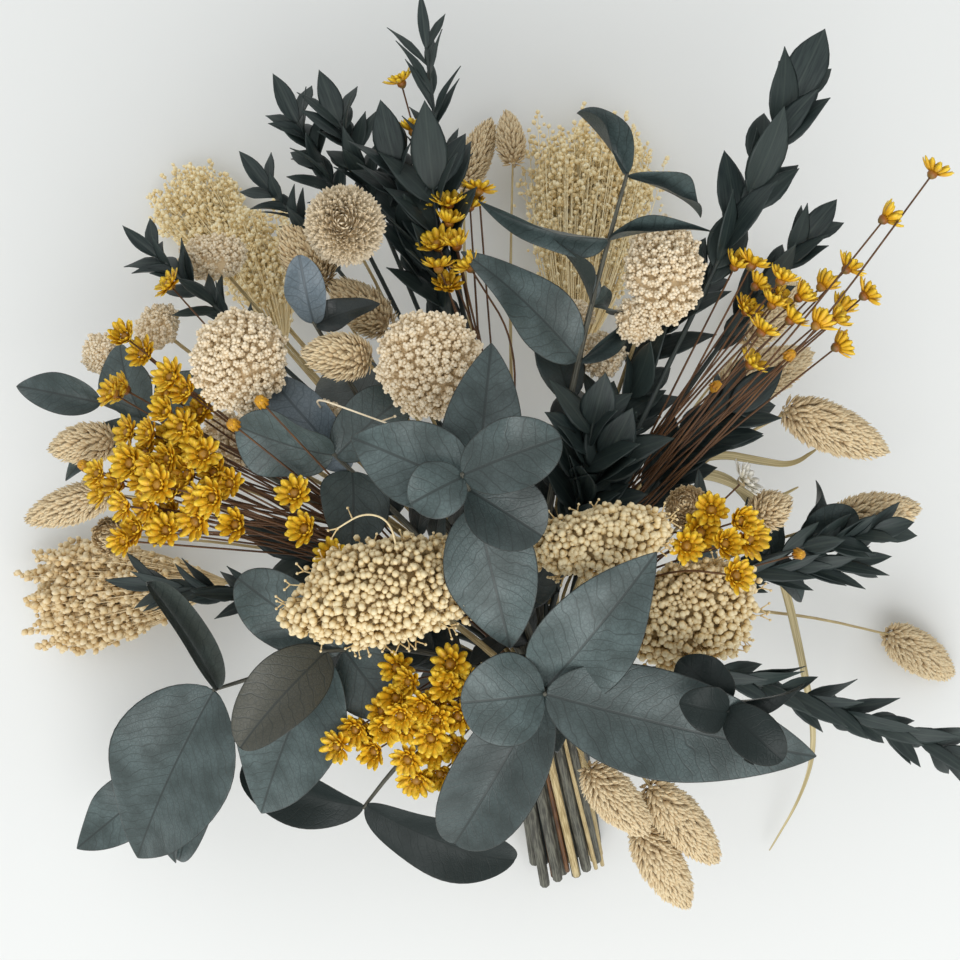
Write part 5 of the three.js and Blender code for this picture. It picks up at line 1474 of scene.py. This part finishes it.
# Folds of the leaves that dried curled.
CURLED = {"far_left": 0.85, "upper_left": 0.6, "low_left": 0.6, "right_narrow": 0.5, "tall_narrow": 0.5}
MORE_TURNS = (0, 0.7, -0.7, 1.4, -1.4, 2.2, 3.0)  # what a leaf between them tries, in radians
for name, sprig, random, rows in sprigs("ruscus", RUSCUS, 31, 5):
    tree = finder(sprig)
    leaves = []
    for limb, (_, _, leafy, long, wide, count) in enumerate(rows):
        points = ROUTES[sprig][limb][0]
        draw = draws(101 + 13 * limb + 7 * len(name))
        for i in range(count):
            base, way = along(points, max(leafy * i / count, TIP_SUNK))
            azimuth = TURN * i + SPIRAL_STRAY * next(draw)
            lean = TIP_LEAN if i == 0 else np.radians(LEANS[0] + LEANS[1] * next(draw))
            length = long * (LENGTHS[0] + LENGTHS[1] * next(draw))

            def spot(attempt):
                """The leaf's tip, and the way that its upper side faces."""
                out = turned(across(UP, way), way, azimuth + np.radians(attempt[0]))
                angle = lean + np.radians(attempt[1])
                run = way * np.cos(angle) + out * np.sin(angle)
                return base + run * length, way * SPRAY_FACE[0] + UP * SPRAY_FACE[1]

            attempt = used_try(tree, SPRAY_TRIES, lambda attempt: cad_leaf(
                base, *spot(attempt), wide, LANCE, 1, SPRAY_ARCH, SPRAY_FOLD))
            tip, face = spot(attempt)
            if name in CLOSER:
                tip = base + length * unit(unit(tip - base) + way * (1 / CLOSER[name] - 1))
            leaves.append(leaf_skin(
                base, tip, face, wide * BROAD.get(name, 1.08), LANCE, 12, 10, SPRAY_ARCH,
                CURLED.get(name, FLAT_FOLD), wave=0.4, twist=random.uniform(-0.7, 0.7),
                phase=random.uniform(0, 6.3), tone=random.uniform(0, 1)))
        more = count if name in BROAD else 2 * count
        for i in range(more):
            base, way = along(points, leafy * (i + 0.5) / more * 1.15)
            for turn in MORE_TURNS:
                out = turned(across(UP, way), way, 2.1 + TURN * i + turn)
                angle = random.uniform(0.55, 0.9) * CLOSER.get(name, 1)
                run = way * np.cos(angle) + out * np.sin(angle)
                size = long * random.uniform(0.7, 1.0)
                leaf = leaf_skin(
                    base, base + run * size, way * SPRAY_FACE[0] + UP * SPRAY_FACE[1],
                    wide * random.uniform(0.8, 1.05), LANCE, 9, 8, SPRAY_ARCH, FLAT_FOLD, wave=0.4,
                    twist=random.uniform(-0.5, 0.5), phase=size, tone=random.uniform(0, 1))
                if is_clear(leaf, sprig):
                    leaves.append(leaf)
                    break
    make_piece("leaves", joined(leaves), RUSCUS_LEAF, sprig)
    make_piece("stem", stem_skin(sprig, tip=0.4), RUSCUS_STEM, sprig)

# Canary grass heads on their straw stalks. The one that faces up has opened, and is paler: its cream finish
# and lifted scale roots are partly painted light, lightening the shade deep between its open scales.
FLUFFED = {"facing": 0.75}
for name, sprig, random, rows in sprigs("phalaris", PHALARIS, 13, 1):
    fluffed = FLUFFED.get(name, 0.0)
    heads = joined([grass_head(base, tip, radius, random, fluffed) for base, tip, radius in rows])
    make_piece("head", heads, CREAM_FLORET if fluffed else GRASS_HUSK, sprig)
    make_piece("stalk", stem_skin(sprig, 0.8), STRAW_STEM, sprig)

# Cream everlastings. Some have a lobe that grew out at the side, given as in CREAM.
TWIG_ACROSS = [[-60, 26, 160], [-60, 30, 196], [-44, 24, 210], [-22, 16, 212]]
TWIG_ARCHED = [[-29, -26, 206], [-31, -14, 214], [-40, -11, 214], [-50, -17, 208]]
LOBES = {
    "left": [[[-84, 30, 162], [0.2, -0.5, 0.8], 10, 8, 0, 0]],
    "right": [[[62, 62, 152], [-0.3, -0.3, 0.9], 10, 9, 0, 0]],
}
for name, sprig, random, rows in sprigs("cream", CREAM, 19, 2):
    heads = [everlasting(*row[:5], random) for row in rows + LOBES.get(name, [])]
    if name == "small":
        heads.append(bare_twig(TWIG_ACROSS, random))
    make_piece("florets", joined(heads), CREAM_FLORET, sprig)
    make_piece("stem", stem_skin(sprig), STRAW_STEM, sprig)

# Rice flower mounds and bead plumes. A plume's [bead radius, [spread across, up and on], [least and most
# length that its beads cover], length of their side stalks in beads, stalks to a mm2, finish].
PLUMES = {
    "left": [1.6, [1.04, 1.02, 1.1], [20, 42], 2.3, 0.3, AGED_PLUME_BUD],
    "back_left": [1.1, [1.22, 0.9, 1.7], [12, 30], 6, 0.15, PLUME_BUD],
    "back": [1.1, [1.3, 0.95, 1.75], [18, 44], 7, 0.24, PLUME_BUD],
}
for name, sprig, random, rows in sprigs("rice", RICE, 23, 4):
    if name in PLUMES:
        bead, spread, beaded, loose, dense, finish = PLUMES[name]
        plumes = [plume(*row, random, bead, np.array(spread), beaded, loose, dense) for row in rows]
        make_piece("beads", joined(plumes), finish, sprig)
    else:
        mounds = [rice_mound(*row[:5], random) for row in rows]
        if name == "front":
            mounds.append(bare_twig(TWIG_ARCHED, random))
        make_piece("buds", joined(mounds), RICE_BUD, sprig)
    make_piece("stem", stem_skin(sprig, 0.9), STRAW_STEM, sprig)

# Star flowers: some are still closed buds and one is bleached, by place in the list. More grow beside them.
CLOSED = {"left": (16, 17, 23, 24), "far_right": (15, 16), "low": (), "right": (5,), "top": ()}
WHITE = ("right", 6)
BESIDE = {"left": 30, "low": 12, "right": 2, "far_right": 3, "top": 5}
# How much the flowers face up, against 1 along their stalks. Where they face up, some are wider open.
FACE_UP = {"left": 1.4, "low": 1.4, "right": 1.2, "far_right": 0.25, "top": 0.3}
STALK_BEND = 0.55  # where along a stalk its middle is
STALK_ARCH = 0.1  # how far it is arched up there, in its length
FLOWER_SIZES = [0.85, 0.3]  # the least size of a flower, and how much it varies
FLOWER_UP = 0.9  # how much the CAD's flower looks up, against 1 along its stalk
CUP_RIM = 0.15  # from the CAD flower's middle to its rim, in its radius
STARS_APART = 6.5  # between the middles of a new flower and the others
STAR_TRIES = 9  # until a new flower has room
for name, sprig, random, (_, flowers) in sprigs("glixia", GLIXIA, 29, 6):
    tree = finder(sprig)
    points = ROUTES[sprig][0][0]
    stars, stalks, kept = [], [], []
    for i, place in enumerate(flowers):
        start = along(points, 1 + STALK_SPAN * i / len(flowers))[0]
        size = GLIXIA_RADIUS * (FLOWER_SIZES[0] + FLOWER_SIZES[1] * next(draws(31 * i + 5)))

        def spot(attempt):
            """The middle of the flower's stalk, and the flower's place."""
            bend, rise, lift = attempt
            flower = np.array(place, float) + UP * lift
            run = flower - start
            side = unit(np.cross(UP, run))
            arch = rise + STALK_ARCH * np.linalg.norm(run)
            return start + STALK_BEND * run + side * bend + UP * arch, flower

        def heart(attempt):
            """The vertex in the middle of the CAD's flower."""
            middle, flower = spot(attempt)
            return [flower + unit(unit(flower - middle) + UP * FLOWER_UP) * CUP_RIM * size]

        attempt = used_try(tree, STALK_TRIES, heart)
        middle, flower = spot(attempt)
        facing = unit(flower - middle) + UP * FACE_UP[name] + random.normal(0, 0.22, 3)
        kept.append(flower)
        if (name, i) == WHITE:
            white_star = star_flower(flower, facing, 1.25 * size, 0.8, random)
            make_piece("white_star", white_star, WHITE_RAY, sprig)
        elif i in CLOSED[name]:
            stars.append(bud(flower, facing, 0.5 * size, random))
        else:
            openness = random.uniform(0.35, 0.75) if FACE_UP[name] < 1 else random.uniform(0.4, 0.95)
            stars.append(star_flower(flower, facing, 1.08 * size, openness, random))
        bent = attempt[0] or attempt[1]
        smooth = corner_cut(np.array([start, middle, flower])) if bent else np.linspace(start, flower, 6)
        stalks.append(rod_skin(smooth, np.linspace(0.5, 0.38, len(smooth)), 5))
    for i in range(BESIDE[name]):
        near = kept[i % min(16, len(flowers))]
        for _ in range(STAR_TRIES):
            aside = random.normal(0, 1, 3) * np.array([1, 1, 0.4])
            place = near + unit(aside) * random.uniform(7.5, 10.5) - UP * random.uniform(0, 5)
            if min(np.linalg.norm(place - other) for other in kept) < STARS_APART:
                continue
            facing = unit(place - along(points, 20)[0]) + UP * FACE_UP[name] + random.normal(0, 0.3, 3)
            flower = star_flower(place, facing, GLIXIA_RADIUS * random.uniform(0.9, 1.2),
                                 random.uniform(0.5, 1.0), random)
            if is_clear(flower, sprig):
                kept.append(place)
                stars.append(flower)
                start = along(points, random.uniform(2, STALK_SPAN))[0]
                bow = (start + place) / 2 + UP * 3 + random.normal(0, 1.5, 3)
                smooth = corner_cut(np.array([start, bow, place]), 2)
                stalks.append(rod_skin(smooth, np.full(len(smooth), 0.42), 5))
                break
    make_piece("stars", joined(stars), STAR_RAY, sprig)
    make_piece("stalks", joined([stem_skin(sprig, 0.8), *stalks]), BROWN_STALK, sprig)


def blade_skin(places, width):
    """A dry grass blade: a thin section folded along its middle and turned as sin 5t, carried along its
    route, as wide as 1 - 0.85 t^2."""
    points = corner_cut(np.array(places, float))
    way = unit(np.gradient(points, axis=0))
    t = np.linspace(0, 1, len(points))
    normal = across(UP, way)
    side = np.cross(normal, way)
    turn = 0.5 * np.sin(5 * t)
    a = ring_angles(10)[None]
    half = (width / 2 * (1 - 0.85 * t ** 2) * np.clip(t * 12 + 0.4, 0, 1))[:, None]
    out = np.cos(a) * half
    lift = 0.28 * np.abs(out) + np.sin(a) * 0.2
    x = out * np.cos(turn)[:, None] - lift * np.sin(turn)[:, None]
    y = lift * np.cos(turn)[:, None] + out * np.sin(turn)[:, None]
    place = np.stack([1.2 * out, np.sin(a) + 0 * out, 0.02 * reached(points)[:, None] + 0 * out], -1)
    grid = points[:, None] + x[..., None] * side[:, None] + y[..., None] * normal[:, None]
    return closed_skin(grid, stem_place=place)


# Grass blades: the CAD's, narrower, and a second one that curls beside the one that lies across.
CURLED_BLADE = [
    [56, -15, 116], [72, -4, 116], [90, 3, 112], [106, -1, 108], [120, -10, 104], [128, -7, 102],
    [136, -3, 100],
]
for name, places in BLADES.items():
    sprig = f"blade_{name}"
    blades = [blade_skin(places, 0.78 * BLADE_WIDTH)]
    if name == "across":
        blades.append(blade_skin(CURLED_BLADE, 0.6 * BLADE_WIDTH))
    make_piece("leaf", joined(blades), GRASS_BLADE, sprig)
    make_piece("stalk", stem_skin(sprig), STRAW_STEM, sprig)

# The tie: twine wound round the waist, clear of the stems, with two plies that turn about each other.
TWINE_RADIUS = 1.15
TWINE_CLEAR = 0.3
WRAPS = 4.3
TWINE_RINGS = 260
PLY_TURNS = 40  # to a wrap, each 3 mm long
bundle = np.max(np.linalg.norm(SLOTS, axis=1) + SLOT_RADII)
right = across(RIGHT, HANDLE)
up = np.cross(HANDLE, right)
wound = np.linspace(0, WRAPS, TWINE_RINGS)
angle = 2 * np.pi * wound
out = np.cos(angle)[:, None] * right + np.sin(angle)[:, None] * up
climb = (wound / WRAPS - 0.5) * 2 * (TIE_HALF - 1)
coil = TIE_PLACE + out * (bundle + TWINE_CLEAR + TWINE_RADIUS) + HANDLE * climb[:, None]
side = np.cross(unit(np.gradient(coil, axis=0)), out)
a = ring_angles(12)[None]
plies = np.abs(np.cos(a - PLY_TURNS * angle[:, None]))
section = TWINE_RADIUS * (0.8 + 0.2 * plies)
grid = coil[:, None] + (np.cos(a) * section)[..., None] * out[:, None] \
    + (np.sin(a) * section)[..., None] * side[:, None]
make_piece("twine", closed_skin(grid, ply=plies), TWINE, "tie")

# ---- Table, light and camera ----
TABLE_RADIUS = 30  # metres


def stage_floor():
    """A plain pale table: a flat disc that goes on to the skyline."""
    material, _ = new_finish("matt white table", 0.85, Specular_IOR_Level=0.2, Base_Color=linear(0xEAECEB))
    a = ring_angles(48)
    points = TABLE_RADIUS * np.stack([np.cos(a), np.sin(a), np.zeros_like(a)], 1)
    mesh = bpy.data.meshes.new("table")
    mesh.from_pydata(points.tolist(), [], [list(range(len(a)))])
    mesh.materials.append(material)
    floor = bpy.data.objects.new("table", mesh)
    bpy.context.scene.collection.objects.link(floor)
    floor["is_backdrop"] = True


def area_light(name, place, target, size, power, colour):
    """A large soft square light at a place in metres, facing a target."""
    light = bpy.data.lights.new(name, "AREA")
    light.size = size
    light.energy = power
    light.color = colour
    holder = bpy.data.objects.new(name, light)
    holder.location = place
    holder.rotation_euler = (Vector(target) - Vector(place)).to_track_quat("-Z", "Y").to_euler()
    bpy.context.scene.collection.objects.link(holder)


stage_floor()
area_light("window light", (0.18, -1.25, 1.5), (0, -0.1, 0.1), 1.8, 25, (1.0, 0.995, 0.985))
area_light("room light", (-1.1, 0.9, 1.7), (0, 0, 0.1), 2.0, 6, (0.99, 1.0, 1.0))
world = bpy.data.worlds.new("room")
world.use_nodes = True
daylight = world.node_tree.nodes["Background"].inputs
daylight["Color"].default_value = (0.99, 1.0, 1.0, 1.0)
daylight["Strength"].default_value = 0.64
bpy.context.scene.world = world
bpy.context.scene.view_settings.view_transform = "Standard"

CAMERA_HEIGHT = 700  # above the table, over the photo's middle
camera_data = bpy.data.cameras.new("camera")
camera_data.lens = 52.66  # mm, as the sensor: the photo's 960 pixels are 479 mm wide on the table
camera_data.sensor_width = 36
camera = bpy.data.objects.new("camera", camera_data)
camera.location = (np.array([0, 0, CAMERA_HEIGHT]) + SHIFT) / 1000
bpy.context.scene.collection.objects.link(camera)
bpy.context.scene.camera = camera

boxes = {"cad": cad_box, "visual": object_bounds()}
{key: [list(corner) for corner in value] for key, value in boxes.items()}
